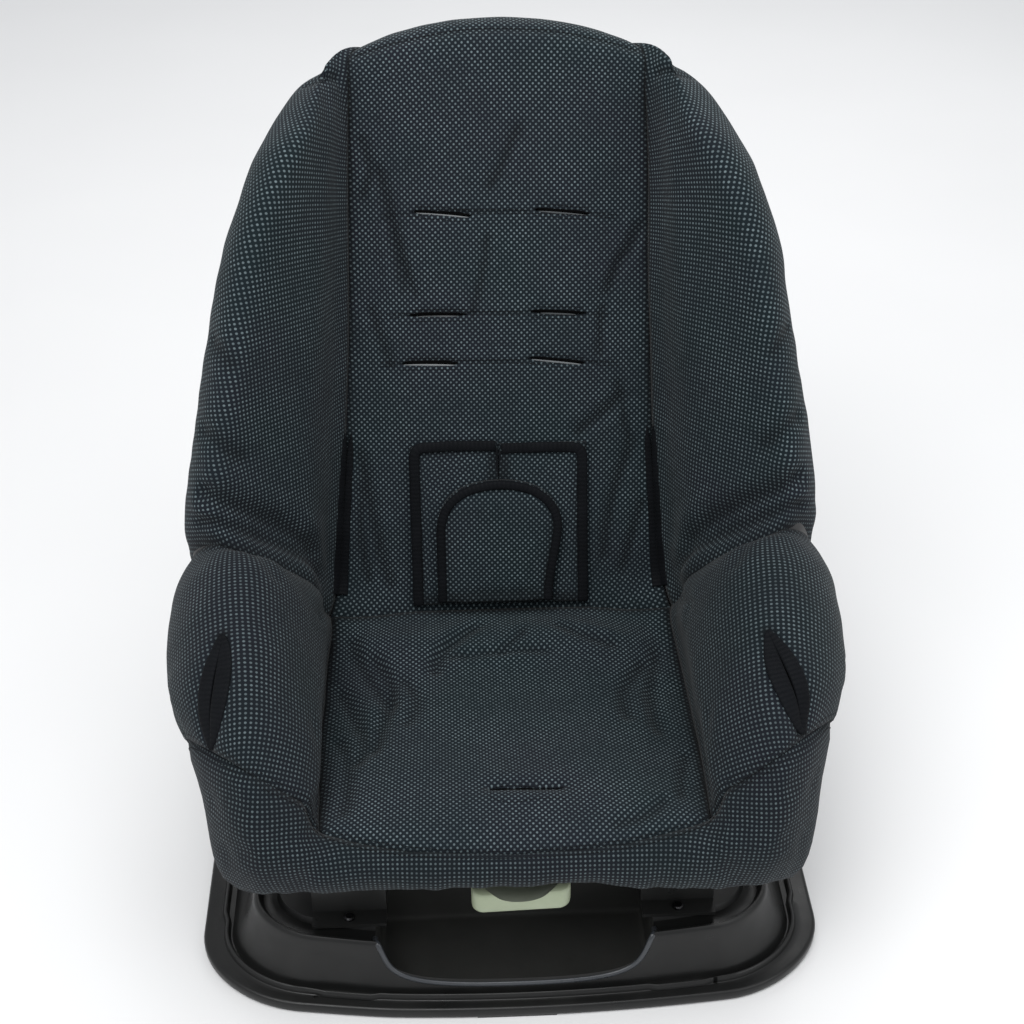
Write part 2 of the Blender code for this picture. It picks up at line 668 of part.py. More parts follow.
SCREW_RADIUS, SCREW_HEAD_RADIUS, SCREW_HEAD, SCREW_LENGTH = 0.0020, 0.0042, 0.0022, 0.012
RAIL_FOOT, RAIL_FOOT_LENGTH = 0.003, 0.014


def screw_places():
    return [
        (side * RAIL_X, y)
        for side in (-1, 1)
        for y in (RAIL_ENDS[0] - RAIL_FOOT_LENGTH / 2, RAIL_ENDS[1] - RAIL_FOOT_LENGTH / 2)
    ]


def make_rail(side):
    """A hollow moulded cradle that a glide of the seat slides on, with a screwed foot at each end."""
    hand = "right" if side < 0 else "left"
    low = DECK_Z + TOUCH
    front, rear = RAIL_ENDS[0], RAIL_ENDS[1] - RAIL_FOOT_LENGTH
    steps = 14
    top = [(front + (rear - front) * i / steps) for i in range(steps + 1)]
    outline = [(front - RAIL_FOOT_LENGTH, low), (front - RAIL_FOOT_LENGTH, low + RAIL_FOOT)]
    outline += [(front, low + RAIL_FOOT)]
    outline += [(y, arc_z(y, RAIL_RADIUS)) for y in top]
    outline += [(rear, low + RAIL_FOOT), (RAIL_ENDS[1], low + RAIL_FOOT), (RAIL_ENDS[1], low)]
    rail = prism(f"recline_rail_{hand}", outline, RAIL_WIDTH, BASE_PLASTIC, centre=side * RAIL_X)
    inside = [(front + RAIL_WALL, low - 0.01)]
    inside += [(y, arc_z(y, RAIL_RADIUS) - RAIL_WALL) for y in top if front + RAIL_WALL < y < rear - RAIL_WALL]
    inside += [(rear - RAIL_WALL, low - 0.01)]
    hollow = prism(f"cut_rail_{hand}", inside, RAIL_WIDTH - 2 * RAIL_WALL, None, centre=side * RAIL_X)
    combine(rail, hollow)
    for x, y in screw_places():
        if x * side > 0:
            number = 1 if y < 0 else 2
            ends = (x, y, low - 0.005), (x, y, low + 0.015)
            combine(rail, round_bar(f"cut_rail_{hand}_{number}", *ends, SCREW_RADIUS + TOUCH, None, sides=8))


def make_rail_screw(number, x, y):
    head = DECK_Z + TOUCH + RAIL_FOOT + TOUCH
    rings = []
    for radius, z in (
        (SCREW_RADIUS, head + 0.0001 - SCREW_LENGTH), (SCREW_RADIUS, head),
        (SCREW_HEAD_RADIUS, head), (SCREW_HEAD_RADIUS, head + SCREW_HEAD * 0.6),
        (SCREW_HEAD_RADIUS * 0.7, head + SCREW_HEAD),
    ):
        rings.append([(x + radius * math.cos(a), y + radius * math.sin(a), z) for a in turns(12)])
    stacked(f"rail_screw_{number}", rings, STEEL, smooth=True)


def underside(x, y):
    """Height of the shell's underside below a point of the pan."""
    column = SEAM * x / 0.141
    low, high = SKIRT_END, PAN_END + 1.0

    def place(row):
        depth = padding(row, column) + LAYER_GAP + SHELL_WALL
        return surface(row, column) - facing(row, column) * depth

    for _ in range(30):
        middle = (low + high) / 2
        if place(middle).y < y:
            low = middle
        else:
            high = middle
    return place(low).z


def make_glide(side):
    """A nylon shoe along the shell's underside that slides on the rail."""
    hand = "right" if side < 0 else "left"
    steps = 10
    front, rear = GLIDE_ENDS
    ys = [front + (rear - front) * i / steps for i in range(steps + 1)]
    half = GLIDE_WIDTH / 2
    outline = [(y, arc_z(y, GLIDE_RADIUS)) for y in ys]
    lowest = [min(underside(RAIL_X - half, y), underside(RAIL_X, y), underside(RAIL_X + half, y)) for y in ys]
    outline += [(y, z - 2 * TOUCH) for y, z in reversed(list(zip(ys, lowest)))]
    prism(f"glide_{hand}", outline, 2 * half, NYLON, centre=side * RAIL_X)


def make_rack():
    """The notched rib that holds the seat at each of its angles."""
    low = DECK_Z + TOUCH
    notch_depth, half_notch = 0.007, math.radians(0.42)
    bolt_angle = math.asin((BOLT_Y - ROCK_Y) / RACK_RADIUS)
    first, last = bolt_angle - RECLINE_STEPS[-1] - math.radians(2), bolt_angle + math.radians(2)

    def on_arc(angle, deeper=0.0):
        radius = RACK_RADIUS + deeper
        return (ROCK_Y + radius * math.sin(angle), ROCK_Z - radius * math.cos(angle))

    outline = [on_arc(first)]
    for step in reversed(RECLINE_STEPS):
        centre = bolt_angle - step
        outline += [on_arc(centre - half_notch), on_arc(centre - half_notch, notch_depth)]
        outline += [on_arc(centre + half_notch, notch_depth), on_arc(centre + half_notch)]
    outline.append(on_arc(last))
    outline += [(on_arc(last)[0], low), (on_arc(first)[0], low)]
    prism("notch_rack", outline, 0.020, BASE_PLASTIC)


def make_grips():
    """A rubber strip under the middle of each edge of the tray."""
    half, length, middle_y = 0.0045, 0.060, 0.040
    front, rear, aside = BASE_FRONT + half + 0.001, BASE_REAR - half - 0.001, BASE_HALF_WIDTH - 0.010
    for name, x, y, along_x in (
        ("grip_front", 0.0, front, True),
        ("grip_rear", 0.0, rear, True),
        ("grip_right", -aside, middle_y, False),
        ("grip_left", aside, middle_y, False),
    ):
        size = (length / 2, half) if along_x else (half, length / 2)
        box(name, (x - size[0], y - size[1], 0.0), (x + size[0], y + size[1], GRIP_THICKNESS), RUBBER)


# ---- the recline lever and its latch ---------------------------------------------------------------------

LEVER_Z, LEVER_THICKNESS = 0.1180, 0.015
LEVER_HALF_WIDTH, LEVER_FRONT, LEVER_BACK = 0.0355, -0.2440, -0.205
HOLLOW_HALF, HOLLOW_Y, HOLLOW_Z, HOLLOW_RADIUS = 0.0285, -0.225, 0.1310, 0.0130
ARM_LOW, ARM_HIGH, ARM_FRONT, ARM_REAR = 0.1125, 0.1185, -0.222, 0.052
HOUSING_HALF = (0.0125, 0.0085)
HOUSING_LOW, HOUSING_HIGH = 0.0880, 0.1252


def make_lever():
    """The cream paddle: a rounded lip with a finger hollow on top of it and two sockets for its arms."""
    outline = []
    corner, rear_corner = 0.009, 0.003
    middle_x, rear_y, front_y = LEVER_HALF_WIDTH - corner, LEVER_BACK - rear_corner, LEVER_FRONT + corner
    for cx, cy, radius, first in (
        (middle_x, rear_y, rear_corner, 0),
        (-middle_x, rear_y, rear_corner, 90),
        (-middle_x, front_y, corner, 180),
        (middle_x, front_y, corner, 270),
    ):
        for i in range(5):
            a = math.radians(first + 90 * i / 4)
            outline.append((cx + radius * math.cos(a), cy + radius * math.sin(a)))
    paddle = prism("recline_lever", outline, LEVER_THICKNESS, LEVER_PLASTIC, along="Z", centre=LEVER_Z)
    ends = [(side * HOLLOW_HALF, HOLLOW_Y, HOLLOW_Z) for side in (-1, 1)]
    combine(paddle, round_bar("cut_finger_hollow", *ends, HOLLOW_RADIUS, None, sides=20))
    sockets = []
    for side in (-1, 1):
        ends = sorted(side * (LEVER_ARM_X + d * (LEVER_ARM_THICKNESS / 2 + TOUCH)) for d in (-1, 1))
        sockets.append(((ends[0], ARM_FRONT - TOUCH, ARM_LOW - TOUCH), (ends[1], -0.19, ARM_HIGH + TOUCH)))
    combine(paddle, joined_boxes("cut_arm_sockets", sockets))


def make_lever_arm(side):
    """A steel arm with a slanted slot that lifts the latch's pin as the lever is pulled."""
    hand = "right" if side < 0 else "left"
    slope = BOLT_TRAVEL / LEVER_TRAVEL
    low_z, high_z = CROSS_PIN_Z - 0.0065, CROSS_PIN_Z + BOLT_TRAVEL + 0.0065
    outline = [
        (ARM_FRONT, ARM_LOW), (BOLT_Y - 0.022, ARM_LOW), (BOLT_Y - 0.009, low_z), (BOLT_Y + 0.010, low_z),
        (ARM_REAR, high_z - 0.010), (ARM_REAR, ARM_HIGH), (ARM_FRONT, ARM_HIGH),
    ]
    arm = prism(f"lever_arm_{hand}", outline, LEVER_ARM_THICKNESS, STEEL, centre=side * LEVER_ARM_X)
    half = CROSS_PIN_RADIUS + TOUCH
    length = math.hypot(1, slope)
    along, over = (1 / length, slope / length), (-slope / length, 1 / length)
    spare = 0.0006
    ends = [(BOLT_Y - spare, CROSS_PIN_Z - spare * slope)]
    ends.append((BOLT_Y + LEVER_TRAVEL + spare, CROSS_PIN_Z + BOLT_TRAVEL + spare * slope))
    slot = []
    for (y, z), sign in zip(ends, (-1, 1)):
        for i in range(7):
            a = math.radians(-90 + 180 * i / 6)
            reach, aside = sign * half * math.cos(a), sign * half * math.sin(a)
            slot.append((y + along[0] * reach + over[0] * aside, z + along[1] * reach + over[1] * aside))
    combine(arm, prism(f"cut_cam_{hand}", slot, 0.010, None, centre=side * LEVER_ARM_X))


def make_latch():
    """The bolt with its cross pin, the housing that guides them, and the spring that pushes the bolt down."""
    half_x, half_y = (s / 2 for s in BOLT_SIZE)
    bolt_top = BOLT_TIP_Z + BOLT_LENGTH
    low, high = (-half_x, BOLT_Y - half_y, BOLT_TIP_Z), (half_x, BOLT_Y + half_y, bolt_top)
    bolt = box("latch_bolt", low, high, STEEL)
    pin = [(side * CROSS_PIN_REACH, BOLT_Y, CROSS_PIN_Z) for side in (-1, 1)]
    combine(bolt, round_bar("cut_pin_hole", *pin, CROSS_PIN_RADIUS + TOUCH / 2, None, sides=12))
    round_bar("latch_cross_pin", *pin, CROSS_PIN_RADIUS, STEEL, sides=12)

    wide, deep = HOUSING_HALF
    housing = box(
        "latch_housing", (-wide, BOLT_Y - deep, HOUSING_LOW), (wide, BOLT_Y + deep, HOUSING_HIGH), SHELL_PLASTIC
    )
    bore = (half_x + TOUCH, half_y + TOUCH)
    slot_half = CROSS_PIN_RADIUS + TOUCH
    cuts = joined_boxes(
        "cut_housing",
        [((-bore[0], BOLT_Y - bore[1], HOUSING_LOW - 0.01), (bore[0], BOLT_Y + bore[1], HOUSING_HIGH + 0.01))],
    )
    combine(housing, cuts)
    slot_low = (-0.02, BOLT_Y - slot_half, CROSS_PIN_Z - slot_half)
    slot_high = (0.02, BOLT_Y + slot_half, CROSS_PIN_Z + BOLT_TRAVEL + slot_half)
    combine(housing, joined_boxes("cut_pin_slot", [(slot_low, slot_high)]))

    low, high = bolt_top + TOUCH, HOUSING_HIGH
    coil_spring("latch_spring", (0, BOLT_Y), low, high, radius=0.0027, wire=0.0004, coils=5)


def coil_spring(name, centre, low, high, radius, wire, coils):
    """A round wire wound up along Z."""
    steps = 12 * coils
    guide = bpy.data.curves.new(name, "CURVE")
    guide.dimensions = "3D"
    guide.bevel_depth = wire
    guide.bevel_resolution = 1
    guide.use_fill_caps = True
    line = guide.splines.new("POLY")
    line.points.add(steps)
    for i, point in enumerate(line.points):
        a = 2 * math.pi * coils * i / steps
        z = low + wire + (high - low - 2 * wire) * i / steps
        point.co = (centre[0] + radius * math.cos(a), centre[1] + radius * math.sin(a), z, 1)
    made = bpy.data.objects.new(name, guide)
    guide.materials.append(STEEL)
    bpy.context.scene.collection.objects.link(made)


def turn_about(name, place, pieces):
    """Hangs the pieces on an empty that stands on their joint's axis."""
    pivot = bpy.data.objects.new(name, None)
    bpy.context.scene.collection.objects.link(pivot)
    pivot.location = place
    for piece in pieces:
        child = bpy.data.objects[piece]
        child.parent = pivot
        child.matrix_parent_inverse = Matrix.Translation(-Vector(place))
    return pivot


SEAT_PIECES = (
    "seat_shell", "latch_housing", "glide_left", "glide_right", "latch_spring", "cover_skirt", "seat_pad",
    "back_pad", "arm_pad_left", "arm_pad_right", "wing_pad_left", "wing_pad_right", "head_foam_liner",
    "wing_foam_left", "wing_foam_right", "belt_guide_left", "belt_guide_right", "belt_flap_left",
    "belt_flap_right",
)


def hang_on_joints():
    rock = turn_about("rocking_centre", (0, ROCK_Y, ROCK_Z), SEAT_PIECES)
    lever_pieces = ("recline_lever", "lever_arm_left", "lever_arm_right")
    carried = (
        turn_about("lever_slide", (0, LEVER_FRONT, LEVER_Z), lever_pieces),
        turn_about("bolt_slide", (0, BOLT_Y, BOLT_TIP_Z), ("latch_bolt", "latch_cross_pin")),
        turn_about("crotch_pad_fold", back(0, CROTCH_PAD_FOOT, sum(CROTCH_PAD_OUT) / 2), ("crotch_pad",)),
    )
    for pivot in carried:
        pivot.parent = rock
        pivot.matrix_parent_inverse = Matrix.Translation(-Vector((0, ROCK_Y, ROCK_Z)))


# ---- build -----------------------------------------------------------------------------------------------

make_bucket()
make_flaps()
places = screw_places()
base_tray = make_tray()
sink_recess(base_tray)
drill_screw_holes(base_tray, places)
make_rack()
make_grips()
make_lever()
make_latch()
for hand_side in (-1, 1):
    make_belt_guide(hand_side)
    make_rail(hand_side)
    make_glide(hand_side)
    make_lever_arm(hand_side)
for index, (screw_x, screw_y) in enumerate(places, 1):
    make_rail_screw(index, screw_x, screw_y)
hang_on_joints()
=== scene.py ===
"""Looks of the child car seat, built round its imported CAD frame. Metres, +Z up, -Y to the front.

The covers, like the CAD's layers, are drawn on one surface through stations of the seat: rows count stations
from the front hem over the pan and up the back, and columns count lines from the middle (0) to a hem (6).
"""

import math

import bmesh
import bpy
import numpy as np
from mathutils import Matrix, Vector, noise
from mathutils.bvhtree import BVHTree


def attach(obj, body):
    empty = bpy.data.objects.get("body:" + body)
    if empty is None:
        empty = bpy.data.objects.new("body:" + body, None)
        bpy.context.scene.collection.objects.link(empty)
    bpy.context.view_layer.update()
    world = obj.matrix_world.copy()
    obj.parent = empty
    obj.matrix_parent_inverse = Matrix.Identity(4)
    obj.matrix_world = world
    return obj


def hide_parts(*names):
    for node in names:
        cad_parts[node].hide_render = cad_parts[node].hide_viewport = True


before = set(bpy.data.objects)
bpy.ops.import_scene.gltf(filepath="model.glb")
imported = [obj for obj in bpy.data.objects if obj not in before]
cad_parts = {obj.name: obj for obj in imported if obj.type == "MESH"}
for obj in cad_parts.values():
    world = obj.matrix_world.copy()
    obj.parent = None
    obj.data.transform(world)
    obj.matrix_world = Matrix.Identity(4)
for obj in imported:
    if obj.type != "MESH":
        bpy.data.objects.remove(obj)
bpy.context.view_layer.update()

# ---- the seat's surface ----------------------------------------------------------------------------------

BACK_TILT = math.radians(20)
BIGHT_Y, BIGHT_Z = 0.050, 0.158
TILT_SIN, TILT_COS = math.sin(BACK_TILT), math.cos(BACK_TILT)


def back(x, up, out):
    """A point near the back: across, up along it from the bight, and out of it towards the child."""
    return (x, BIGHT_Y + up * TILT_SIN - out * TILT_COS, BIGHT_Z + up * TILT_COS + out * TILT_SIN)


def seat(x, y, z):
    return (x, y, z)


# Each station: middle, panel seam, top of the side, widest point, hem, the share of the side's width that its
# slope has covered halfway up, and how thick the padding is against its full thickness.
STATIONS = (
    (seat(0, -0.243, 0.133), seat(0.135, -0.242, 0.124), seat(0.183, -0.237, 0.121),
     seat(0.207, -0.225, 0.118), seat(0.216, -0.203, 0.117), 0.50, 0.30),
    (seat(0, -0.250, 0.150), seat(0.136, -0.249, 0.149), seat(0.185, -0.246, 0.158),
     seat(0.216, -0.215, 0.144), seat(0.216, -0.184, 0.117), 0.35, 0.45),
    (seat(0, -0.244, 0.165), seat(0.137, -0.243, 0.168), seat(0.188, -0.240, 0.193),
     seat(0.222, -0.200, 0.172), seat(0.218, -0.165, 0.118), 0.34, 0.55),
    (seat(0, -0.220, 0.175), seat(0.138, -0.216, 0.175), seat(0.190, -0.220, 0.226),
     seat(0.231, -0.177, 0.198), seat(0.222, -0.142, 0.119), 0.20, 0.75),
    (seat(0, -0.165, 0.169), seat(0.140, -0.165, 0.168), seat(0.192, -0.180, 0.255),
     seat(0.243, -0.139, 0.222), seat(0.228, -0.110, 0.121), 0.13, 1.0),
    (seat(0, -0.105, 0.159), seat(0.141, -0.110, 0.160), seat(0.192, -0.130, 0.276),
     seat(0.248, -0.096, 0.238), seat(0.233, -0.075, 0.123), 0.10, 1.0),
    (seat(0, -0.045, 0.152), seat(0.141, -0.055, 0.154), seat(0.193, -0.080, 0.287),
     seat(0.250, -0.050, 0.246), seat(0.239, -0.035, 0.126), 0.10, 1.0),
    (seat(0, 0.010, 0.151), seat(0.139, 0.000, 0.155), seat(0.196, -0.045, 0.289),
     seat(0.249, -0.018, 0.249), seat(0.242, 0.010, 0.134), 0.13, 1.0),
    (seat(0, 0.046, 0.159), seat(0.136, 0.035, 0.166), seat(0.206, -0.030, 0.289),
     seat(0.248, -0.003, 0.256), seat(0.242, 0.046, 0.162), 0.20, 1.0),
    (back(0, 0.028, 0), back(0.134, 0.026, 0), seat(0.215, -0.021, 0.300),
     seat(0.247, 0.003, 0.273), seat(0.242, 0.057, 0.204), 0.28, 1.0),
    (back(0, 0.070, 0), back(0.131, 0.068, 0), back(0.219, 0.133, 0.115),
     back(0.245, 0.125, 0.089), seat(0.240, 0.058, 0.252), 0.33, 1.0),
    (back(0, 0.120, 0), back(0.127, 0.118, 0), back(0.215, 0.169, 0.115),
     back(0.240, 0.163, 0.089), back(0.236, 0.145, 0.044), 0.36, 1.0),
    (back(0, 0.175, 0), back(0.123, 0.173, 0), back(0.207, 0.209, 0.114),
     back(0.232, 0.205, 0.088), back(0.228, 0.190, 0.045), 0.38, 1.0),
    (back(0, 0.235, 0), back(0.120, 0.233, 0), back(0.197, 0.257, 0.111),
     back(0.222, 0.254, 0.085), back(0.218, 0.245, 0.044), 0.38, 1.0),
    (back(0, 0.295, 0), back(0.118, 0.291, 0), back(0.186, 0.305, 0.105),
     back(0.211, 0.303, 0.079), back(0.207, 0.297, 0.040), 0.38, 1.0),
    (back(0, 0.350, 0), back(0.117, 0.344, 0), back(0.172, 0.349, 0.092),
     back(0.197, 0.347, 0.068), back(0.194, 0.341, 0.030), 0.40, 1.0),
    (back(0, 0.397, 0), back(0.116, 0.387, 0), back(0.158, 0.385, 0.072),
     back(0.184, 0.381, 0.048), back(0.182, 0.375, 0.014), 0.44, 0.8),
    (back(0, 0.435, 0), back(0.114, 0.420, 0), back(0.146, 0.410, 0.046),
     back(0.172, 0.405, 0.025), back(0.170, 0.396, -0.006), 0.48, 0.6),
    (back(0, 0.463, -0.003), back(0.110, 0.445, -0.001), back(0.135, 0.431, 0.024),
     back(0.161, 0.422, 0.005), back(0.160, 0.410, -0.022), 0.50, 0.42),
    (back(0, 0.477, -0.020), back(0.106, 0.458, -0.017), back(0.128, 0.444, -0.001),
     back(0.152, 0.432, -0.016), back(0.152, 0.417, -0.036), 0.50, 0.32),
    (back(0, 0.474, -0.039), back(0.102, 0.455, -0.036), back(0.122, 0.440, -0.022),
     back(0.142, 0.431, -0.031), back(0.1435, 0.420, -0.041), 0.50, 0.27),
    (back(0, 0.446, -0.051), back(0.100, 0.430, -0.048), back(0.118, 0.420, -0.037),
     back(0.130, 0.424, -0.040), back(0.134, 0.419, -0.045), 0.50, 0.25),
)
HEM = 6  # the last column
LAST = len(STATIONS) - 1
PAD_ACROSS = np.array((0.020, 0.020, 0.015, 0.012, 0.0040, 0.0030, 0.0030))  # full padding on each line
PAD_ALONG = np.array([s[6] for s in STATIONS])
MIRROR = np.array((-1.0, 1.0, 1.0))
HEM_TILT, TOP_LEAN, HOOD_FULL, HOOD_CROWN, DRAWN_IN = 0.0045, 0.0048, 0.0085, 0.0055, 0.0042


def station_lines(station):
    """The seven lines' points at a station: the halfway and slope lines are found between the given ones."""
    middle, seam, side_top, widest, hem = (np.array(p, float) for p in station[:5])
    slope = (seam + side_top) / 2
    slope[0] = seam[0] + station[5] * (side_top[0] - seam[0])
    halfway = seam + (middle - seam) * 0.75
    halfway[0] = seam[0] / 2
    return (middle, halfway, seam, slope, side_top, widest, hem)


def size(vectors):
    return np.linalg.norm(vectors, axis=-1, keepdims=True)


def headings(points):
    """Which way a line of points runs at each of them, as long as the shorter step beside it."""
    before = np.concatenate([points[..., :1, :], points[..., :-1, :]], -2)
    after = np.concatenate([points[..., 1:, :], points[..., -1:, :]], -2)
    steps = np.stack([size(points - before), size(after - points)])
    steps[0, ..., 0, :] = np.inf
    steps[1, ..., -1, :] = np.inf
    return (after - before) / size(after - before) * steps.min(0)


def hermite(start, end, leaving, arriving, f):
    ease = f * f * (3 - 2 * f)
    return start + (end - start) * ease + (leaving * (1 - f) - arriving * f) * f * (1 - f)


LINES = np.array([station_lines(s) for s in STATIONS])
LINE_HEADINGS = headings(LINES.transpose(1, 0, 2)).transpose(1, 0, 2)


def rise(t):
    t = np.clip(t, 0, 1)
    return t * t * (3 - 2 * t)


def bell(x):
    return np.exp(-np.minimum(x * x, 60))


def surface(rows, columns):
    """Points of the covers' surface, for arrays of rows and columns."""
    rows, columns = np.broadcast_arrays(np.asarray(rows, float), np.asarray(columns, float))
    shape = rows.shape
    rows, columns = rows.ravel(), columns.ravel()
    i = np.clip(rows.astype(int), 0, LAST - 1)
    f = (rows - i)[:, None, None]
    half = hermite(LINES[i], LINES[i + 1], LINE_HEADINGS[i], LINE_HEADINGS[i + 1], f)
    across = np.concatenate([half[:, :0:-1] * MIRROR, half], 1)
    turn = headings(across)
    j = np.clip((columns + HEM).astype(int), 0, 2 * HEM - 1)
    g = (columns + HEM - j)[:, None]
    n = np.arange(len(j))
    made = hermite(across[n, j], across[n, j + 1], turn[n, j], turn[n, j + 1], g)
    # The hem hangs a little lower at the left corner than at the right one, the top leans to the left, the
    # wings are drawn in above the armrests, and the hood is full, and crowned, at its corners.
    hand, aside = np.sign(columns), np.abs(columns)
    drop = hand * rise(np.abs(made[:, 0]) / 0.15) * (1 - rise(rows / 2.5))
    made[:, 2] -= HEM_TILT * drop
    drawn_in = rise((rows - 9.0) / 2.0) * rise((14.6 - rows) / 2.5) * rise((aside - 1.8) / 1.6)
    hood = bell((rows - 18.3) / 0.95) * rise((aside - 1.2) / 1.2) * (1 - 0.8 * rise((aside - 3.2) / 1.4))
    made[:, 2] += HOOD_CROWN * bell((aside - 3.0) / 0.75) * rise((rows - 17.6) / 0.8)
    made[:, 0] += TOP_LEAN * rise((rows - 8.5) / 8.0) + hand * (HOOD_FULL * hood - DRAWN_IN * drawn_in)
    return made.reshape(*shape, 3)


def normals(grid):
    """Outward directions of a grid of points whose first axis runs along the seat and second across it."""
    made = np.cross(np.gradient(grid, axis=1), np.gradient(grid, axis=0))
    return made / np.maximum(size(made), 1e-12)


def padding(rows, columns):
    along = np.interp(rows, np.arange(LAST + 1), PAD_ALONG)
    return along * np.interp(np.abs(columns), np.arange(HEM + 1), PAD_ACROSS)


# ---- measures --------------------------------------------------------------------------------------------

SPACING = 0.0036  # between neighbouring points of a cover
FINE = 0.0007  # and across a slit
SLIT_CLOSE = 0.0042  # how far from a slit the points lie that near
CORNER_REACH = 0.012  # from a corner of the hem
DOT_PITCH = 0.0033
SLIT_HALF = 0.023
# Slits for the shoulder straps: up the back, and the middles and tilts of the right and the left one.
SHOULDER_SLITS = (
    (0.2105, (-0.0545, -0.0020), (0.0490, -0.0050)),
    (0.2500, (-0.0465, -0.0012), (0.0500, -0.0020)),
    (0.3310, (-0.0410, -0.0060), (0.0545, -0.0030)),
)
CROTCH_ROW = 3.725
CROTCH_SLIT = ((CROTCH_ROW, -0.27), (CROTCH_ROW - 0.03, 0.54))
# Where the skirt's sewn upper edge lies: the row at each of these columns.
SKIRT_COLUMNS = (0.0, 1.1, 1.75, 2.3, 3.3, 3.98, 4.62, 5.3, 6.0)
SKIRT_ROWS = (2.18, 2.34, 2.74, 3.02, 3.06, 3.20, 3.38, 3.60, 3.90)
BACK_FOOT, PAN_END = 7.86, 8.06
BACK_FOLDS, SEAT_FOLDS, WING_FOLDS = 1.35, 1.25, 1.35  # how much the folds are deepened
BELT_SLIT_ROWS = (8.6, 11.65)
ARM_SLITS = {-1: ((4.98, 4.17), (4.15, 4.27), (3.36, 4.40)), 1: ((4.90, 3.92), (4.10, 4.06), (3.36, 4.24))}


def skirt_edge(columns):
    return np.interp(np.abs(columns), SKIRT_COLUMNS, SKIRT_ROWS)


def lengths_along(line):
    """How far along a line each of its points is."""
    return np.concatenate([[0], np.cumsum(size(np.diff(line, axis=0))[:, 0])])


def even_marks(dense, line, close=()):
    """Marks an even step apart along a line, and a fine step apart around each mark in close."""
    run = lengths_along(line)
    marks = list(np.linspace(0, run[-1], max(int(run[-1] / SPACING), 4) + 1))
    for place, reach in close:
        middle = np.interp(place, dense, run)
        around = np.arange(-reach, reach + FINE / 2, FINE)
        marks = [m for m in marks if abs(m - middle) > reach + 0.4 * SPACING] + list(middle + around)
    marks = np.clip(np.sort(marks), 0, run[-1])
    return np.interp(np.unique(marks.round(6)), run, dense)


def even_rows(low, high, column, close=()):
    dense = np.linspace(low, high, 2000)
    return even_marks(dense, surface(dense, column), close)


def even_columns(low, high, row):
    dense = np.linspace(low, high, 1500)
    return even_marks(dense, surface(row, dense))


def row_up_the_back(up):
    dense = np.linspace(8.0, 17.0, 2000)
    line = surface(dense, 0.0)
    return np.interp(up, (line[:, 1] - BIGHT_Y) * TILT_SIN + (line[:, 2] - BIGHT_Z) * TILT_COS, dense)


def resampled(points, count):
    points = np.asarray(points, float)
    run = lengths_along(points)
    at = np.linspace(0, run[-1], count)
    return np.stack([np.interp(at, run, points[:, k]) for k in range(points.shape[1])], -1)


def smooth_line(marks, count=40):
    """A smooth run of (row, column) pairs through the given ones."""
    marks = np.array([(r, c, 0.0) for r, c in marks], float)
    turn = headings(marks)
    at = np.linspace(0, len(marks) - 1, count)
    i = np.clip(at.astype(int), 0, len(marks) - 2)
    f = (at - i)[:, None]
    return hermite(marks[i], marks[i + 1], turn[i], turn[i + 1], f)[:, :2]


def distance(grid, line):
    """How far each point of the grid is from a line of points, and how far along it from 0 to 1 its foot is."""
    flat = grid.reshape(-1, 3)
    best, along = np.full(len(flat), np.inf), np.zeros(len(flat))
    for k in range(len(line) - 1):
        a, b = line[k], line[k + 1]
        t = np.clip((flat - a) @ (b - a) / max((b - a) @ (b - a), 1e-12), 0, 1)
        d = np.linalg.norm(flat - a - t[:, None] * (b - a), axis=1)
        nearer = d < best
        best[nearer], along[nearer] = d[nearer], ((k + t) / (len(line) - 1))[nearer]
    return best.reshape(grid.shape[:2]), along.reshape(grid.shape[:2])


def ruffle(grid, wave, seed, stretch=(1, 1, 1)):
    """Smooth noise over a grid of points, about -1 to 1, its waves that long in metres."""
    scaled = grid / wave / np.array(stretch) + seed * 7.31
    return np.array([noise.noise(Vector(p)) for p in scaled.reshape(-1, 3)]).reshape(grid.shape[:2])


# ---- materials -------------------------------------------------------------------------------------------


def new_material(name):
    made = bpy.data.materials.new(name)
    made.use_nodes = True
    tree = made.node_tree
    return made, tree, tree.nodes["Principled BSDF"]


def put(tree, kind, settings=None, **inputs):
    """A node with those settings; an input is a number, a colour or another node's output."""
    node = tree.nodes.new(kind)
    for key, value in (settings or {}).items():
        setattr(node, key, value)
    for key, value in inputs.items():
        socket = node.inputs[int(key[1:])] if key[0] == "i" and key[1:].isdigit() else node.inputs[key]
        if isinstance(value, bpy.types.NodeSocket):
            tree.links.new(value, socket)
        else:
            socket.default_value = value
    return node


def spread(tree, value, low, high, to_low, to_high, smooth=False):
    mode = {"interpolation_type": "SMOOTHSTEP"} if smooth else {}
    node = put(tree, "ShaderNodeMapRange", mode, i0=value, i1=low, i2=high, i3=to_low, i4=to_high)
    return node.outputs[0]


def maths(tree, operation, a, b=0.0):
    return put(tree, "ShaderNodeMath", {"operation": operation}, i0=a, i1=b).outputs[0]


def mixed(tree, share, a, b):
    node = put(tree, "ShaderNodeMix", {"data_type": "RGBA"}, i0=share, i6=a, i7=b)
    return node.outputs[2]


def noise_of(tree, where, scale, detail=2.0, roughness=0.5):
    node = put(tree, "ShaderNodeTexNoise", None, Vector=where, Scale=scale, Detail=detail, Roughness=roughness)
    return node.outputs[0]


def bumped(tree, shader, strength, distance, height):
    bump = put(tree, "ShaderNodeBump", None, Strength=strength, Distance=distance, Height=height)
    tree.links.new(bump.outputs[0], shader.inputs["Normal"])


def colour(r, g, b):
    return (r, g, b, 1.0)


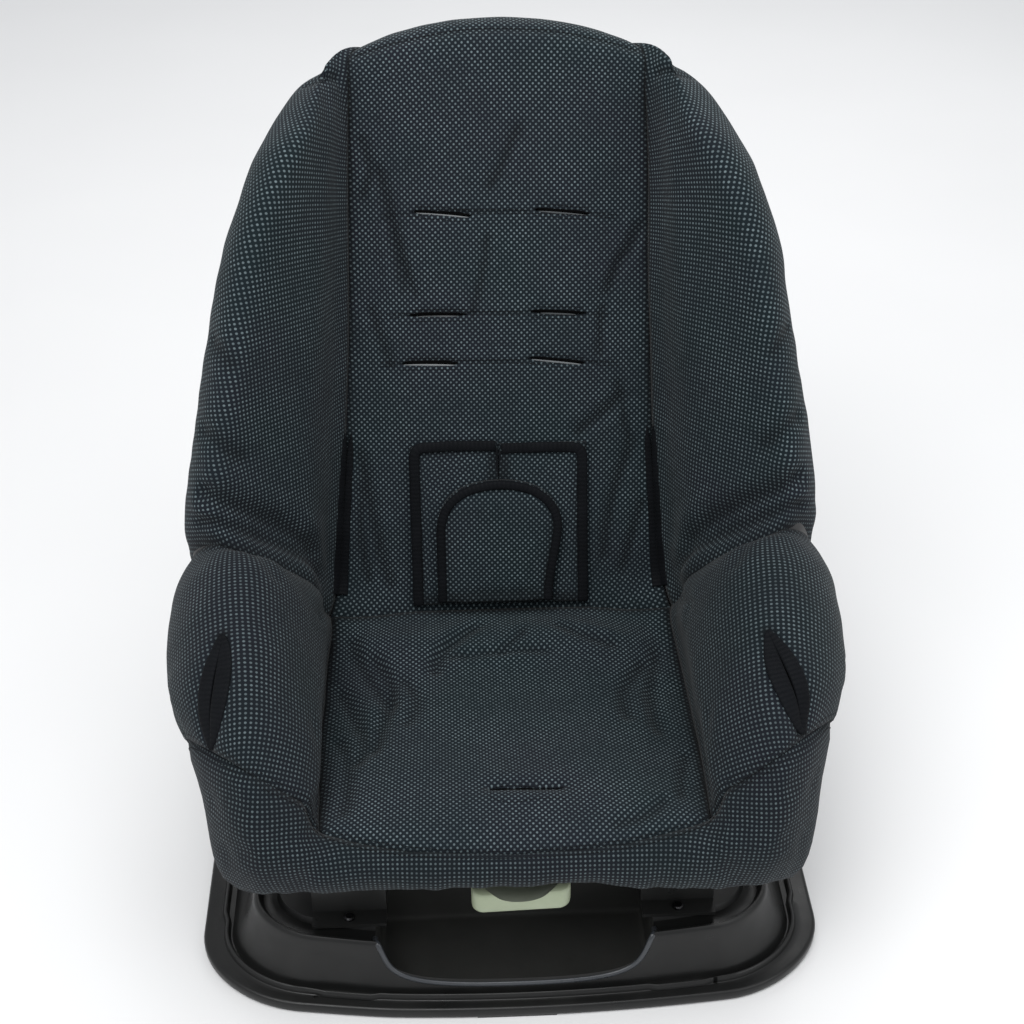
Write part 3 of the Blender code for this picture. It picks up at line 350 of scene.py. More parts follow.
def fabric(name):
    """Navy cloth with a woven grid of pale dots. Its own map is in metres, so the dots keep their pitch."""
    made, tree, shader = new_material(name)
    cloth = put(tree, "ShaderNodeUVMap", {"uv_map": "cloth"}).outputs[0]
    where = put(tree, "ShaderNodeTexCoord").outputs["Object"]
    flat = {"voronoi_dimensions": "2D"}
    dots = put(tree, "ShaderNodeTexVoronoi", flat, Vector=cloth, Scale=1 / DOT_PITCH, Randomness=0.0)
    mask = spread(tree, dots.outputs["Distance"], 0.33, 0.15, 0.0, 1.0, True)
    each = put(tree, "ShaderNodeSeparateColor", None, Color=dots.outputs["Color"]).outputs[0]
    worn = spread(tree, noise_of(tree, where, 24.0, 3.0), 0.3, 0.7, 0.72, 1.12)
    strength = maths(tree, "MULTIPLY", maths(tree, "MULTIPLY", mask, spread(tree, each, 0, 1, 0.55, 1.0)), worn)
    patches = spread(tree, noise_of(tree, where, 9.0, 2.0), 0.35, 0.65, 0.0, 1.0)
    ground = mixed(tree, patches, colour(0.0074, 0.0150, 0.0190), colour(0.0108, 0.0142, 0.0208))
    threads = put(tree, "ShaderNodeTexVoronoi", flat, Vector=cloth, Scale=4 / DOT_PITCH, Randomness=0.3)
    between = spread(tree, threads.outputs["Distance"], 0.1, 0.6, 0.0, 0.45)
    ground = mixed(tree, between, ground, colour(0, 0, 0))
    both = mixed(tree, strength, ground, colour(0.130, 0.170, 0.182))
    # Painted shade: the shade attribute darkens the cloth towards near-black in seams, creases, slits and over
    # whole pieces.
    shade = put(tree, "ShaderNodeAttribute", {"attribute_name": "shade"}).outputs["Fac"]
    both = mixed(tree, shade, both, colour(0.0018, 0.0022, 0.0030))
    tree.links.new(both, shader.inputs["Base Color"])
    tree.links.new(spread(tree, mask, 0, 1, 0.93, 0.74), shader.inputs["Roughness"])
    shader.inputs["Specular IOR Level"].default_value = 0.16
    shader.inputs["Sheen Weight"].default_value = 0.05
    shader.inputs["Sheen Roughness"].default_value = 0.5
    height = maths(tree, "ADD", mask, spread(tree, threads.outputs["Distance"], 0.0, 0.7, 0.5, 0.0))
    bumped(tree, shader, 0.35, 0.0004, height)
    return made


def binding_tape():
    """Black ribbed tape, folded over the covers' cut edges."""
    made, tree, shader = new_material("binding_tape")
    cloth = put(tree, "ShaderNodeUVMap", {"uv_map": "cloth"}).outputs[0]
    where = put(tree, "ShaderNodeTexCoord").outputs["Object"]
    bands = {"wave_type": "BANDS"}
    ribs = put(tree, "ShaderNodeTexWave", bands, Vector=cloth, Scale=90.0, Distortion=1.5, Detail=1.0)
    fuzz = noise_of(tree, where, 700.0, 2.0)
    patches = spread(tree, noise_of(tree, where, 40.0), 0.3, 0.7, 0, 1)
    tone = mixed(tree, patches, colour(0.0020, 0.0026, 0.0036), colour(0.0040, 0.0047, 0.0062))
    tone = mixed(tree, spread(tree, fuzz, 0.35, 0.75, 0, 0.35), tone, colour(0.0070, 0.0080, 0.0100))
    tree.links.new(tone, shader.inputs["Base Color"])
    tree.links.new(spread(tree, ribs.outputs[0], 0, 1, 0.85, 0.68), shader.inputs["Roughness"])
    shader.inputs["Specular IOR Level"].default_value = 0.10
    shader.inputs["Sheen Weight"].default_value = 0.01
    height = maths(tree, "ADD", ribs.outputs[0], fuzz)
    bumped(tree, shader, 0.4, 0.0003, height)
    return made


def plastic(name, dark, light, roughness, grain=0.25, scale=900.0, gloss=0.5):
    """Moulded plastic: a fine spark-eroded grain, faint handling marks, and edges a little paler, as wear and
    painted highlight.
    """
    made, tree, shader = new_material(name)
    where = put(tree, "ShaderNodeTexCoord").outputs["Object"]
    marks = noise_of(tree, where, 14.0, 5.0, 0.6)
    edges = put(tree, "ShaderNodeNewGeometry").outputs["Pointiness"]
    tone = mixed(tree, spread(tree, marks, 0.35, 0.7, 0, 1), colour(*dark), colour(*light))
    # Sharp edges paler: part rubbed wear, part painted highlight.
    edge_wear_and_highlight = [min(1.0, 2.6 * c + 0.006) for c in light]
    tone = mixed(tree, spread(tree, edges, 0.53, 0.62, 0, 0.35), tone, colour(*edge_wear_and_highlight))
    tree.links.new(tone, shader.inputs["Base Color"])
    low, high = max(roughness - 0.07, 0.05), min(roughness + 0.10, 1.0)
    smears = spread(tree, noise_of(tree, where, 38.0, 4.0), 0.3, 0.7, low, high)
    tree.links.new(smears, shader.inputs["Roughness"])
    shader.inputs["Specular IOR Level"].default_value = gloss
    height = noise_of(tree, where, scale, 2.0)
    bumped(tree, shader, grain, 0.0002, height)
    return made


def metal(name, dark=(0.40, 0.40, 0.41), light=(0.54, 0.54, 0.55)):
    made, tree, shader = new_material(name)
    where = put(tree, "ShaderNodeTexCoord").outputs["Object"]
    spangle = put(tree, "ShaderNodeTexVoronoi", None, Vector=where, Scale=160.0).outputs["Color"]
    fac = put(tree, "ShaderNodeSeparateColor", None, Color=spangle).outputs[0]
    tree.links.new(mixed(tree, fac, colour(*dark), colour(*light)), shader.inputs["Base Color"])
    tree.links.new(spread(tree, fac, 0, 1, 0.28, 0.45), shader.inputs["Roughness"])
    shader.inputs["Metallic"].default_value = 1.0
    height = noise_of(tree, where, 500.0)
    bumped(tree, shader, 0.15, 0.0002, height)
    return made


def foam():
    made, tree, shader = new_material("bead_foam")
    where = put(tree, "ShaderNodeTexCoord").outputs["Object"]
    cells = {"feature": "DISTANCE_TO_EDGE"}
    beads = put(tree, "ShaderNodeTexVoronoi", cells, Vector=where, Scale=280.0).outputs[0]
    tone = mixed(tree, spread(tree, beads, 0, 0.25, 0, 1), colour(0.52, 0.52, 0.50), colour(0.76, 0.76, 0.74))
    tree.links.new(tone, shader.inputs["Base Color"])
    shader.inputs["Roughness"].default_value = 0.85
    bumped(tree, shader, 0.5, 0.0006, beads)
    return made


FABRIC = fabric("dotted_cloth")
TAPE = binding_tape()
# Near-black strips laid in the slits' openings: painted shadow.
SLIT_SHADOW = plastic("slit_painted_shadow", (0.0012, 0.0012, 0.0014), (0.0020, 0.0020, 0.0022), 0.9, 0.3, 1500.0, 0.05)
# The next two are pale strips on the slits' lips: painted highlight, a dim copy and a bright one.
DIM_WELT_HIGHLIGHT = plastic("welt_dim_painted_highlight", (0.035, 0.040, 0.043), (0.065, 0.072, 0.076), 0.6, 0.5, 1500.0)
WELT_HIGHLIGHT = plastic("welt_painted_highlight", (0.08, 0.088, 0.092), (0.16, 0.172, 0.178), 0.5, 0.5, 1500.0)
DARK_THREAD = plastic("dark_thread", (0.003, 0.003, 0.004), (0.007, 0.007, 0.008), 0.7, 0.5, 1500.0, 0.2)
BASE_BLACK = plastic("base_black", (0.0078, 0.0080, 0.0080), (0.0118, 0.0120, 0.0116), 0.33, 0.20, 900.0, 0.34)
# A paler copy of the tray's plastic for the recess: painted light against the shade inside it.
RECESS_LIT = plastic("recess_painted_light", (0.0215, 0.0218, 0.02), (0.03, 0.0302, 0.028), 0.72, 0.5, 600.0, 0.35)
# Paler, bluer tray plastic for the recess lip: a painted highlight along the rim.
LIP_HIGHLIGHT = plastic("lip_painted_highlight", (0.030, 0.034, 0.040), (0.046, 0.051, 0.058), 0.30, 0.20, 900.0, 0.6)
SHELL_BLACK = plastic("shell_black", (0.0100, 0.0100, 0.0105), (0.0150, 0.0150, 0.0155), 0.52, 0.45, 700.0)
CREAM = plastic("lever_cream", (0.27, 0.315, 0.21), (0.35, 0.395, 0.275), 0.36, 0.12)
# A darker, greener copy of the lever's cream for its finger hollow: painted shade.
SHADED_CREAM = plastic("hollow_cream_painted_shade", (0.22, 0.25, 0.19), (0.29, 0.32, 0.25), 0.45, 0.2)
STEEL = metal("zinc_plate")
BLACK_STEEL = metal("blackened_steel", (0.035, 0.035, 0.037), (0.060, 0.060, 0.063))
NYLON = plastic("glide_grey", (0.045, 0.045, 0.047), (0.065, 0.065, 0.068), 0.45)
RUBBER = plastic("grip_black", (0.014, 0.014, 0.014), (0.024, 0.024, 0.024), 0.8, 0.6, 500.0, 0.3)
FOAM = foam()


# ---- meshes ----------------------------------------------------------------------------------------------


def add_mesh(name, points, faces, finish, uv=None, shade=None):
    """A smooth object. uv and shade hold a pair and a number for each point."""
    mesh = bpy.data.meshes.new(name)
    mesh.from_pydata(np.asarray(points, float).tolist(), [], faces)
    if uv is not None:
        layer = mesh.uv_layers.new(name="cloth")
        corners = np.empty(len(mesh.loops), np.int32)
        mesh.loops.foreach_get("vertex_index", corners)
        layer.data.foreach_set("uv", np.asarray(uv, np.float32)[corners].ravel())
    if shade is not None:
        mesh.attributes.new("shade", "FLOAT", "POINT").data.foreach_set("value", np.asarray(shade, np.float32))
    mesh.materials.append(finish)
    mesh.shade_smooth()
    made = bpy.data.objects.new(name, mesh)
    bpy.context.scene.collection.objects.link(made)
    return made


def grid_faces(high, wide, first=0, flip=False):
    faces = []
    for i in range(high - 1):
        for j in range(wide - 1):
            a = first + i * wide + j
            face = (a, a + 1, a + wide + 1, a + wide)
            faces.append(face[::-1] if flip else face)
    return faces


def rim(high, wide):
    """The indices round the edge of a grid, in order."""
    low = [j for j in range(wide)]
    right = [i * wide + wide - 1 for i in range(1, high)]
    top = [(high - 1) * wide + j for j in range(wide - 2, -1, -1)]
    left = [i * wide for i in range(high - 2, 0, -1)]
    return low + right + top + left


def closed_sheet(name, front, behind, finish, uv, shade):
    """A pad from the points of its face and of its back, closed all round."""
    high, wide = front.shape[:2]
    count = high * wide
    points = np.concatenate([front.reshape(-1, 3), behind.reshape(-1, 3)])
    faces = grid_faces(high, wide) + grid_faces(high, wide, count, True)
    edge = rim(high, wide)
    for a, b in zip(edge, edge[1:] + edge[:1]):
        faces.append((b, a, a + count, b + count))
    uv = np.concatenate([uv.reshape(-1, 2)] * 2)
    shade = np.concatenate([shade.ravel()] * 2)
    return add_mesh(name, points, faces, finish, uv, shade)


def cut_flat(front, turn):
    """The cloth's own map: the face laid flat in metres with little stretch, its width turned to that angle."""
    high, wide = front.shape[:2]
    made = add_mesh("flat", front.reshape(-1, 3), grid_faces(high, wide), FABRIC, np.zeros((high * wide, 2)))
    for other in bpy.context.selected_objects:
        other.select_set(False)
    bpy.context.view_layer.objects.active = made
    made.select_set(True)
    bpy.ops.object.mode_set(mode="EDIT")
    bpy.ops.mesh.select_all(action="SELECT")
    bpy.ops.uv.unwrap(method="MINIMUM_STRETCH", iterations=12, margin=0.0)
    bpy.ops.object.mode_set(mode="OBJECT")
    mesh = made.data
    flat = np.empty(len(mesh.loops) * 2, np.float32)
    mesh.uv_layers[0].data.foreach_get("uv", flat)
    corners = np.empty(len(mesh.loops), np.int32)
    mesh.loops.foreach_get("vertex_index", corners)
    uv = np.zeros((high * wide, 2))
    uv[corners] = flat.reshape(-1, 2)
    bpy.data.objects.remove(made)
    uv = uv.reshape(high, wide, 2)
    across, along = uv[1:, 1:] - uv[1:, :-1], uv[1:, 1:] - uv[:-1, 1:]
    area = np.abs(across[..., 0] * along[..., 1] - across[..., 1] * along[..., 0]).sum()
    real = size(np.cross(front[1:, 1:] - front[1:, :-1], front[1:, 1:] - front[:-1, 1:])).sum()
    step = across[high // 3 : -high // 3, wide // 3 : -wide // 3].mean((0, 1))
    angle = turn - math.atan2(step[1], step[0])
    rotate = np.array(((math.cos(angle), math.sin(angle)), (-math.sin(angle), math.cos(angle))))
    return uv @ rotate * math.sqrt(real / area)


def edge_distances(grid):
    """How far each point is from the grid's low, high, left and right edges, along the grid's own lines."""
    steps_along, steps_across = (size(np.diff(grid, axis=k))[..., 0] for k in (0, 1))
    along = np.concatenate([np.zeros((1, grid.shape[1])), np.cumsum(steps_along, 0)])
    across = np.concatenate([np.zeros((grid.shape[0], 1)), np.cumsum(steps_across, 1)], 1)
    return along, along[-1:] - along, across, across[:, -1:] - across


class Cover:
    """One sewn piece of the cover: a grid over the surface, lifted and dented step by step, then closed."""

    def __init__(self, rows, columns, low=None, high=None, painted_shade=0.0):
        """Rows are spread between each column's low and high rows, where given. Painted shade darkens it all
        over.
        """
        share = (rows - rows[0]) / (rows[-1] - rows[0])
        low = rows[0] if low is None else low(columns)
        high = rows[-1] if high is None else high(columns)
        self.rows = low + (high - low) * share[:, None] + np.zeros_like(columns)
        self.columns = np.broadcast_to(columns, self.rows.shape)
        self.base = surface(self.rows, self.columns)
        self.facing = normals(self.base)
        self.lift = np.zeros(self.rows.shape)
        self.shade = np.full(self.rows.shape, painted_shade)
        self.edges = edge_distances(self.base)

    def crown(self, height, reach, sides="LHlr"):
        """Swells the piece by that height, rising over that reach from its edges."""
        names = dict(zip("LHlr", self.edges))
        nearest = np.minimum.reduce([names[s] for s in sides])
        self.lift += height * rise(nearest / reach) ** 0.7

    def sink(self, side, depth, reach, shade=0.8):
        """Pulls an edge down into its seam; depth is a number, or one for each point."""
        near = dict(zip("LHlr", self.edges))[side]
        self.lift -= depth * np.exp(-((near / reach) ** 1.3))
        # Painted shade along the seam.
        self.shade = np.maximum(self.shade, shade * np.exp(-((near / (0.55 * reach)) ** 1.3)))

    def groove(self, marks, depth, width, shade=0.5, lip=0.25, ends=0.12):
        """Dents the piece along (row, column) marks, with a soft lip each side, fading at the ends."""
        line = surface(*smooth_line(marks, 24).T)
        near, along = distance(self.base, line)
        fade = rise(along / ends) * rise((1 - along) / ends) if ends else 1.0
        self.lift += depth * fade * (lip * bell((near - 2.4 * width) / (1.2 * width)) - bell(near / width))
        # Painted shade along the dent.
        self.shade = np.maximum(self.shade, shade * fade * bell(near / (0.8 * width)))

    def wrinkle(self, height, wave, seed, stretch=(1, 1, 1), mask=1.0):
        self.lift += height * mask * ruffle(self.base, wave, seed, stretch)

    def finish(self, name, share, turn, nodes, fill):
        # At a corner of the hem the cloth lies on the surface.
        low, high, left, right = self.edges
        from_corner = np.maximum(np.minimum(low, high), np.minimum(left, right))
        outer = rise((np.abs(self.columns) - 5.0) / 0.5)
        self.lift = self.lift * (1 - outer * (1 - rise(from_corner / CORNER_REACH)))
        front = self.base + self.facing * self.lift[..., None]
        depth = np.maximum(share * padding(self.rows, self.columns), 0.0016 - self.lift)
        behind = self.base - self.facing * depth[..., None]
        uv = cut_flat(self.base, turn)
        made = closed_sheet(name, front, behind, FABRIC, uv, np.clip(self.shade, 0, 1))
        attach(made, "seat")
        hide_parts(*nodes)
        self.made = made
        return made


# ---- covers ----------------------------------------------------------------------------------------------


def slit_marks_on_back(up, middle, tilt):
    """A strap slit's line, from its right end to its left one, as (row, column) pairs."""
    ends = []
    for x in (middle - SLIT_HALF, middle + SLIT_HALF):
        row = row_up_the_back(up + tilt * (x - middle) / SLIT_HALF * 0.5)
        dense = np.linspace(-2, 2, 400)
        ends.append((row, np.interp(x, surface(row, dense)[:, 0], dense)))
    return ends


def make_back_cover():
    slits = [(up, spot) for up, right, left in SHOULDER_SLITS for spot in (right, left)]
    close = [(row_up_the_back(up), SLIT_CLOSE) for up, _, _ in SHOULDER_SLITS]
    rows = even_rows(BACK_FOOT, LAST, 0.0, close=close)
    columns = even_columns(-2.0, 2.0, 12.0)
    cover = Cover(rows, columns)
    cover.crown(0.0022, 0.030, "lr")
    top = 1 - 0.75 * rise((cover.rows - 16.5) / 1.5)
    cover.sink("l", 0.0042 * top, 0.0042, 0.7)
    cover.sink("r", 0.0042 * top, 0.0042, 0.7)
    cover.sink("L", 0.0095, 0.0120)
    cover.sink("H", 0.0015, 0.0060, 0.3)
    lower = rise((11.9 - cover.rows) / 1.0)
    cover.lift -= 0.0012 * lower
    cover.wrinkle(0.0011, 0.060, 1.0)
    cover.wrinkle(0.0007, 0.022, 2.0, (1.0, 1.0, 1.6), 1 - 0.5 * lower)
    # Creases pulled between the slits and the side seams, and a sewn line across at each row of slits.
    for marks, depth, width in (
        (((15.6, -1.62), (14.9, -1.50), (14.2, -1.38), (13.4, -1.24)), 0.0030, 0.0045),
        (((14.5, -1.42), (14.0, -1.30), (13.4, -1.08)), 0.0018, 0.0030),
        (((14.6, 1.95), (14.2, 1.78), (13.9, 1.60), (13.4, 1.42)), 0.0030, 0.0042),
        (((13.4, 1.40), (13.0, 1.36), (12.6, 1.33)), 0.0022, 0.0035),
        (((16.1, 0.32), (15.5, 0.10), (14.9, -0.17)), 0.0016, 0.0048),
        (((14.4, -0.16), (13.8, -0.22), (13.1, -0.40)), 0.0013, 0.0040),
        (((12.2, 1.72), (11.8, 1.30), (11.5, 0.95)), 0.0022, 0.0048),
        (((12.4, 1.55), (12.0, 1.62), (11.3, 1.72)), 0.0016, 0.0040),
        (((16.2, -1.85), (15.4, -1.70), (14.9, -1.86)), 0.0020, 0.0040),
        (((13.5, -1.75), (12.9, -1.55), (12.5, -1.42)), 0.0016, 0.0040),
        (((11.6, -1.86), (10.6, -1.66), (9.4, -1.46), (8.6, -1.30)), 0.0024, 0.0040),
        (((11.0, -1.78), (10.0, -1.74), (8.9, -1.60)), 0.0016, 0.0034),
        (((11.6, 1.80), (10.8, 1.52), (10.0, 1.36), (9.2, 1.30)), 0.0020, 0.0044),
        (((10.6, 1.86), (9.8, 1.66), (9.0, 1.50)), 0.0018, 0.0036),
    ):
        cover.groove(marks, BACK_FOLDS * depth, width, 0.5)
    for up, right, left in SHOULDER_SLITS:
        row = row_up_the_back(up)
        cover.groove([(row + 0.02, -1.55), (row, 0.0), (row - 0.04, 1.55)], 0.0007, 0.0016, 0.25, 0.5)
    for up, (middle, tilt) in slits:
        marks = slit_marks_on_back(up, middle, tilt)
        cover.groove(marks, 0.0020, 0.0050, 0.15, 0.2, 0.2)
        cover.groove(marks, 0.0055, 0.0010, 1.0, 0.0, 0.06)
    hood = [(18.35, c) for c in (-1.9, -1.0, 0.0, 1.0, 1.9)]
    cover.groove(hood, 0.0009, 0.0022, 0.3, 0.6, 0)
    cover.finish("back_cover", 0.55, math.radians(45), ("back_pad",), 0.35)
    return cover


def make_seat_cover():
    rows = even_rows(2.3, PAN_END, 0.0, close=[(CROTCH_ROW, SLIT_CLOSE)])
    cover = Cover(rows, even_columns(-2.0, 2.0, 5.0), low=skirt_edge)
    cover.crown(0.0040, 0.060)
    cover.sink("l", 0.0050, 0.0055)
    cover.sink("r", 0.0050, 0.0055)
    cover.sink("L", 0.0020, 0.0040, 0.35)
    cover.sink("H", 0.0030, 0.0060)
    crest = bell((cover.rows - 7.10) / 0.62) * rise((2.02 - np.abs(cover.columns)) / 0.5)
    cover.lift += 0.0075 * crest * (1 + 0.18 * ruffle(cover.base, 0.05, 6.0))
    rear = rise((cover.rows - 5.4) / 1.8)
    side = rise((np.abs(cover.columns) - 0.9) / 0.9)
    cover.wrinkle(0.0016, 0.075, 3.0)
    cover.wrinkle(0.0026, 0.045, 4.0, (1.7, 0.8, 1.0), np.maximum(rear, 0.35 * side))
    cover.wrinkle(0.0010, 0.020, 5.0, (1.0, 1.4, 1.0), 0.4 + 0.6 * np.maximum(rear, side))
    for marks, depth, width in (
        (((7.6, -0.20), (7.05, -0.52), (6.58, -0.76), (6.2, -0.80)), 0.0040, 0.0050),
        (((7.5, -1.80), (6.9, -1.70), (6.2, -1.45), (5.5, -1.20)), 0.0032, 0.0060),
        (((6.4, -1.88), (5.6, -1.66), (4.9, -1.52), (4.3, -1.60)), 0.0030, 0.0055),
        (((5.2, -1.84), (4.6, -1.70), (3.8, -1.66), (3.2, -1.72)), 0.0022, 0.0050),
        (((7.4, 0.60), (7.0, 0.95), (6.7, 1.35)), 0.0030, 0.0050),
        (((6.55, -0.74), (6.62, -0.30), (6.66, 0.20), (6.62, 0.60)), 0.0022, 0.0034),
        (((6.9, -1.55), (6.1, -1.28), (5.2, -1.36), (4.5, -1.44)), 0.0034, 0.0050),
        (((6.3, -1.20), (5.7, -1.00), (5.1, -1.12)), 0.0022, 0.0050),
        (((6.6, 1.62), (5.9, 1.32), (5.1, 1.30)), 0.0026, 0.0055),
        (((7.0, 1.84), (6.3, 1.66), (5.6, 1.58), (4.8, 1.62)), 0.0026, 0.0052),
        (((4.6, 1.86), (4.0, 1.74), (3.4, 1.66)), 0.0020, 0.0045),
        (((7.3, 0.30), (6.9, 0.15), (6.6, -0.10)), 0.0016, 0.0042),
        (((3.5, 1.55), (3.1, 1.30), (2.8, 0.95)), 0.0018, 0.0050),
    ):
        cover.groove(marks, SEAT_FOLDS * depth, width, 0.42)
    cover.groove([(CROTCH_ROW + 0.02, -0.42), (CROTCH_ROW - 0.05, 0.68)], 0.0026, 0.0060, 0.2, 0.3, 0.2)
    cover.groove(CROTCH_SLIT, 0.0060, 0.0010, 1.0, 0.0, 0.06)
    cover.finish("seat_cover", 0.95, math.radians(45), ("seat_pad",), 0.6)
    return cover


def spindle(cover, side):
    """Opens the armrest's belt slit: the face is pressed down into a long lens."""
    line = surface(*smooth_line([(r, side * c) for r, c in ARM_SLITS[side]], 24).T)
    near, along = distance(cover.base, line)
    width = 0.0105 * np.sqrt(np.clip(np.sin(np.pi * np.clip(along, 0, 1)), 0, 1)) + 0.0008
    cover.lift -= 0.0050 * bell(near / width) * rise(along / 0.05) * rise((1 - along) / 0.05)
    return line


def make_arm_cover(side):
    hand = "right" if side < 0 else "left"
    rows = even_rows(2.9, PAN_END, side * 3.6)
    columns = even_columns(2.0, HEM, 5.0)
    columns = columns if side > 0 else -columns[::-1]
    # Painted shade darkens the whole armrest cover.
    cover = Cover(rows, columns, low=skirt_edge, painted_shade=0.24)
    inner, outer = ("l", "r") if side > 0 else ("r", "l")
    cover.crown(0.0050, 0.050, "LH" + inner)
    cover.sink(inner, 0.0045, 0.0060)
    cover.sink("L", 0.0016, 0.0040, 0.45)
    cover.sink("H", 0.0050, 0.0080)
    cover.sink(outer, 0.0020, 0.0060, 0.3)
    cover.wrinkle(0.0018, 0.070, 10.0 + side)
    cover.wrinkle(0.0012, 0.030, 12.0 + side, (1.0, 1.0, 1.5))
    low = rise((4.2 - cover.rows) / 1.0)
    cover.wrinkle(0.0022, 0.035, 14.0 + side, (2.2, 1.0, 0.7), low)
    hem = rise((np.abs(cover.columns) - 5.0) / 1.0)
    cover.wrinkle(0.0030, 0.020, 16.0 + side, (1.0, 0.8, 3.0), hem)
    for marks, depth, width in (
        (((7.7, 2.6), (7.0, 2.9), (6.4, 3.1)), 0.0030, 0.0055),
        (((7.6, 3.9), (6.9, 3.8), (6.3, 3.7)), 0.0016, 0.0060),
        (((3.3, 3.0), (3.9, 2.9), (4.5, 3.1)), 0.0016, 0.0050),
        (((3.5, 4.9), (4.1, 5.1), (4.6, 5.0)), 0.0022, 0.0050),
    ):
        cover.groove([(r, side * c) for r, c in marks], depth, width, 0.25)
    line = spindle(cover, side)
    # Painted shade round the slit.
    near, _ = distance(cover.base, line)
    cover.shade = np.maximum(cover.shade, 0.9 * bell(near / 0.006))
    cover.finish(f"arm_cover_{hand}", 0.95, 0.40 * side, (f"arm_pad_{hand}",), 0.75)
    return cover


def make_wing_cover(side):
    hand = "right" if side < 0 else "left"
    rows = even_rows(BACK_FOOT, LAST, side * 4.0)
    columns = even_columns(2.0, HEM, 13.0)
    columns = columns if side > 0 else -columns[::-1]
    cover = Cover(rows, columns)
    inner, outer = ("l", "r") if side > 0 else ("r", "l")
    upper = 1 - rise((cover.rows - 15.5) / 2.5)
    cover.lift += 0.0020 * rise(cover.edges[2 if side > 0 else 3] / 0.045) * upper
    top = 1 - 0.75 * rise((cover.rows - 16.5) / 1.5)
    cover.sink(inner, 0.0042 * top, 0.0045, 0.7)
    cover.sink("L", 0.0095, 0.0140)
    cover.sink(outer, 0.0015, 0.0050, 0.3)
    cover.wrinkle(0.0018, 0.085, 20.0 + side)
    cover.wrinkle(0.0010, 0.035, 22.0 + side, (1.0, 1.0, 1.8))
    low = rise((10.6 - cover.rows) / 1.6)
    cover.wrinkle(0.0028, 0.040, 24.0 + side, (1.4, 1.4, 0.7), low)
    rim_share = rise((np.abs(cover.columns) - 4.4) / 1.2)
    cover.wrinkle(0.0022, 0.022, 26.0 + side, (1.6, 1.6, 0.8), rim_share)
    for marks, depth, width in (
        (((10.2, 4.5), (9.9, 4.0), (9.6, 3.3), (9.2, 2.6)), 0.0048, 0.0070),
        (((9.3, 4.6), (9.1, 3.9), (9.0, 3.2), (8.7, 2.3)), 0.0040, 0.0060),
        (((11.4, 4.7), (11.2, 4.2), (10.8, 3.6)), 0.0022, 0.0070),
        (((12.9, 4.8), (12.7, 4.4), (12.4, 4.0)), 0.0016, 0.0060),
        (((18.5, 4.9), (18.2, 4.0), (17.9, 3.0), (17.6, 2.2)), 0.0018, 0.0035),
    ):
        cover.groove([(r, side * c) for r, c in marks], WING_FOLDS * depth, width, 0.45)
    cover.finish(f"wing_cover_{hand}", 0.5, math.radians(8) * side, (f"wing_pad_{hand}",), 0.6)
    return cover


def make_skirt():
    rows = even_rows(0.0, 2.18, 0.0)
    columns = even_columns(-HEM, HEM, 1.2)
    # Painted shade darkens the whole skirt.
    cover = Cover(rows, columns, high=skirt_edge, painted_shade=0.32)
    cover.lift -= 0.0012 * rise((np.abs(cover.columns) - 2.2) / 1.0) * rise((cover.rows - 1.6) / 1.0)
    cover.sink("H", 0.0024, 0.0050, 0.4)
    foot = rise((1.6 - cover.rows) / 1.6)
    cover.wrinkle(0.0016, 0.060, 30.0)
    cover.wrinkle(0.0026, 0.030, 31.0, (0.8, 1.0, 2.6), 0.3 + 0.7 * foot)
    cover.wrinkle(0.0013, 0.013, 32.0, (0.8, 1.0, 2.6), foot)
    cover.sink("L", 0.0050, 0.0050, 0.4)
    for side in (-1, 1):
        for marks, depth, width in (
            (((2.6, 2.3), (2.2, 3.0), (1.6, 4.0), (1.2, 4.8)), 0.0024, 0.0060),
            (((2.9, 3.4), (2.6, 4.1), (2.3, 4.8)), 0.0020, 0.0050),
            (((1.9, 1.9), (1.2, 2.6), (0.5, 3.2)), 0.0020, 0.0055),
        ):
            cover.groove([(r, side * c) for r, c in marks], depth, width, 0.25)
    cover.finish("skirt_cover", 0.8, 0.0, ("cover_skirt",), 0.25)
    return cover


COVERS = [make_back_cover(), make_seat_cover(), make_skirt()]
for hand_side in (-1, 1):
    COVERS += [make_arm_cover(hand_side), make_wing_cover(hand_side)]


# ---- bindings, lips and stitches -------------------------------------------------------------------------


def tree_of(pieces):
    """One search tree over those pieces' faces."""
    points, faces = [], []
    for piece in pieces:
        first = len(points)
        points += [v.co.copy() for v in piece.data.vertices]
        faces += [[first + i for i in p.vertices] for p in piece.data.polygons]
    return BVHTree.FromPolygons(points, faces)


COVER_TREE = tree_of([cover.made for cover in COVERS])
REACH = 0.03


def laid(points, away, lift=0.0):
    """Lays points on the covers, along -away, and lifts them off. Gives them and the covers' facing there."""
    placed, facing = [], []
    for point, out in zip(points, away):
        out = Vector(out).normalized()
        hit, normal, _, _ = COVER_TREE.ray_cast(Vector(point) + out * REACH, -out, 2 * REACH)
        if hit is None:
            hit, normal = Vector(point), out
        if normal.dot(out) < 0:
            normal = -normal
        placed.append(hit + out * lift)
        facing.append(normal.lerp(out, 0.5).normalized())
    return np.array(placed), np.array(facing)


def eased(values, passes=4):
    """A line of points with its small steps smoothed, its ends kept."""
    for _ in range(passes):
        values = np.concatenate([values[:1], (values[:-2] + 2 * values[1:-1] + values[2:]) / 4, values[-1:]])
    return values


def on_covers(marks, count, lift=0.0):
    """A smooth line of (row, column) marks laid on the covers."""
    pairs = resampled(smooth_line(marks, 4 * count), count)
    rows, columns = pairs.T
    step = 0.02
    along = surface(rows + step, columns) - surface(rows - step, columns)
    across = surface(rows, columns + step) - surface(rows, columns - step)
    placed, facing = laid(surface(rows, columns), np.cross(across, along), lift)
    return eased(placed), eased(facing)


def unit(vectors):
    return vectors / np.maximum(size(vectors), 1e-9)


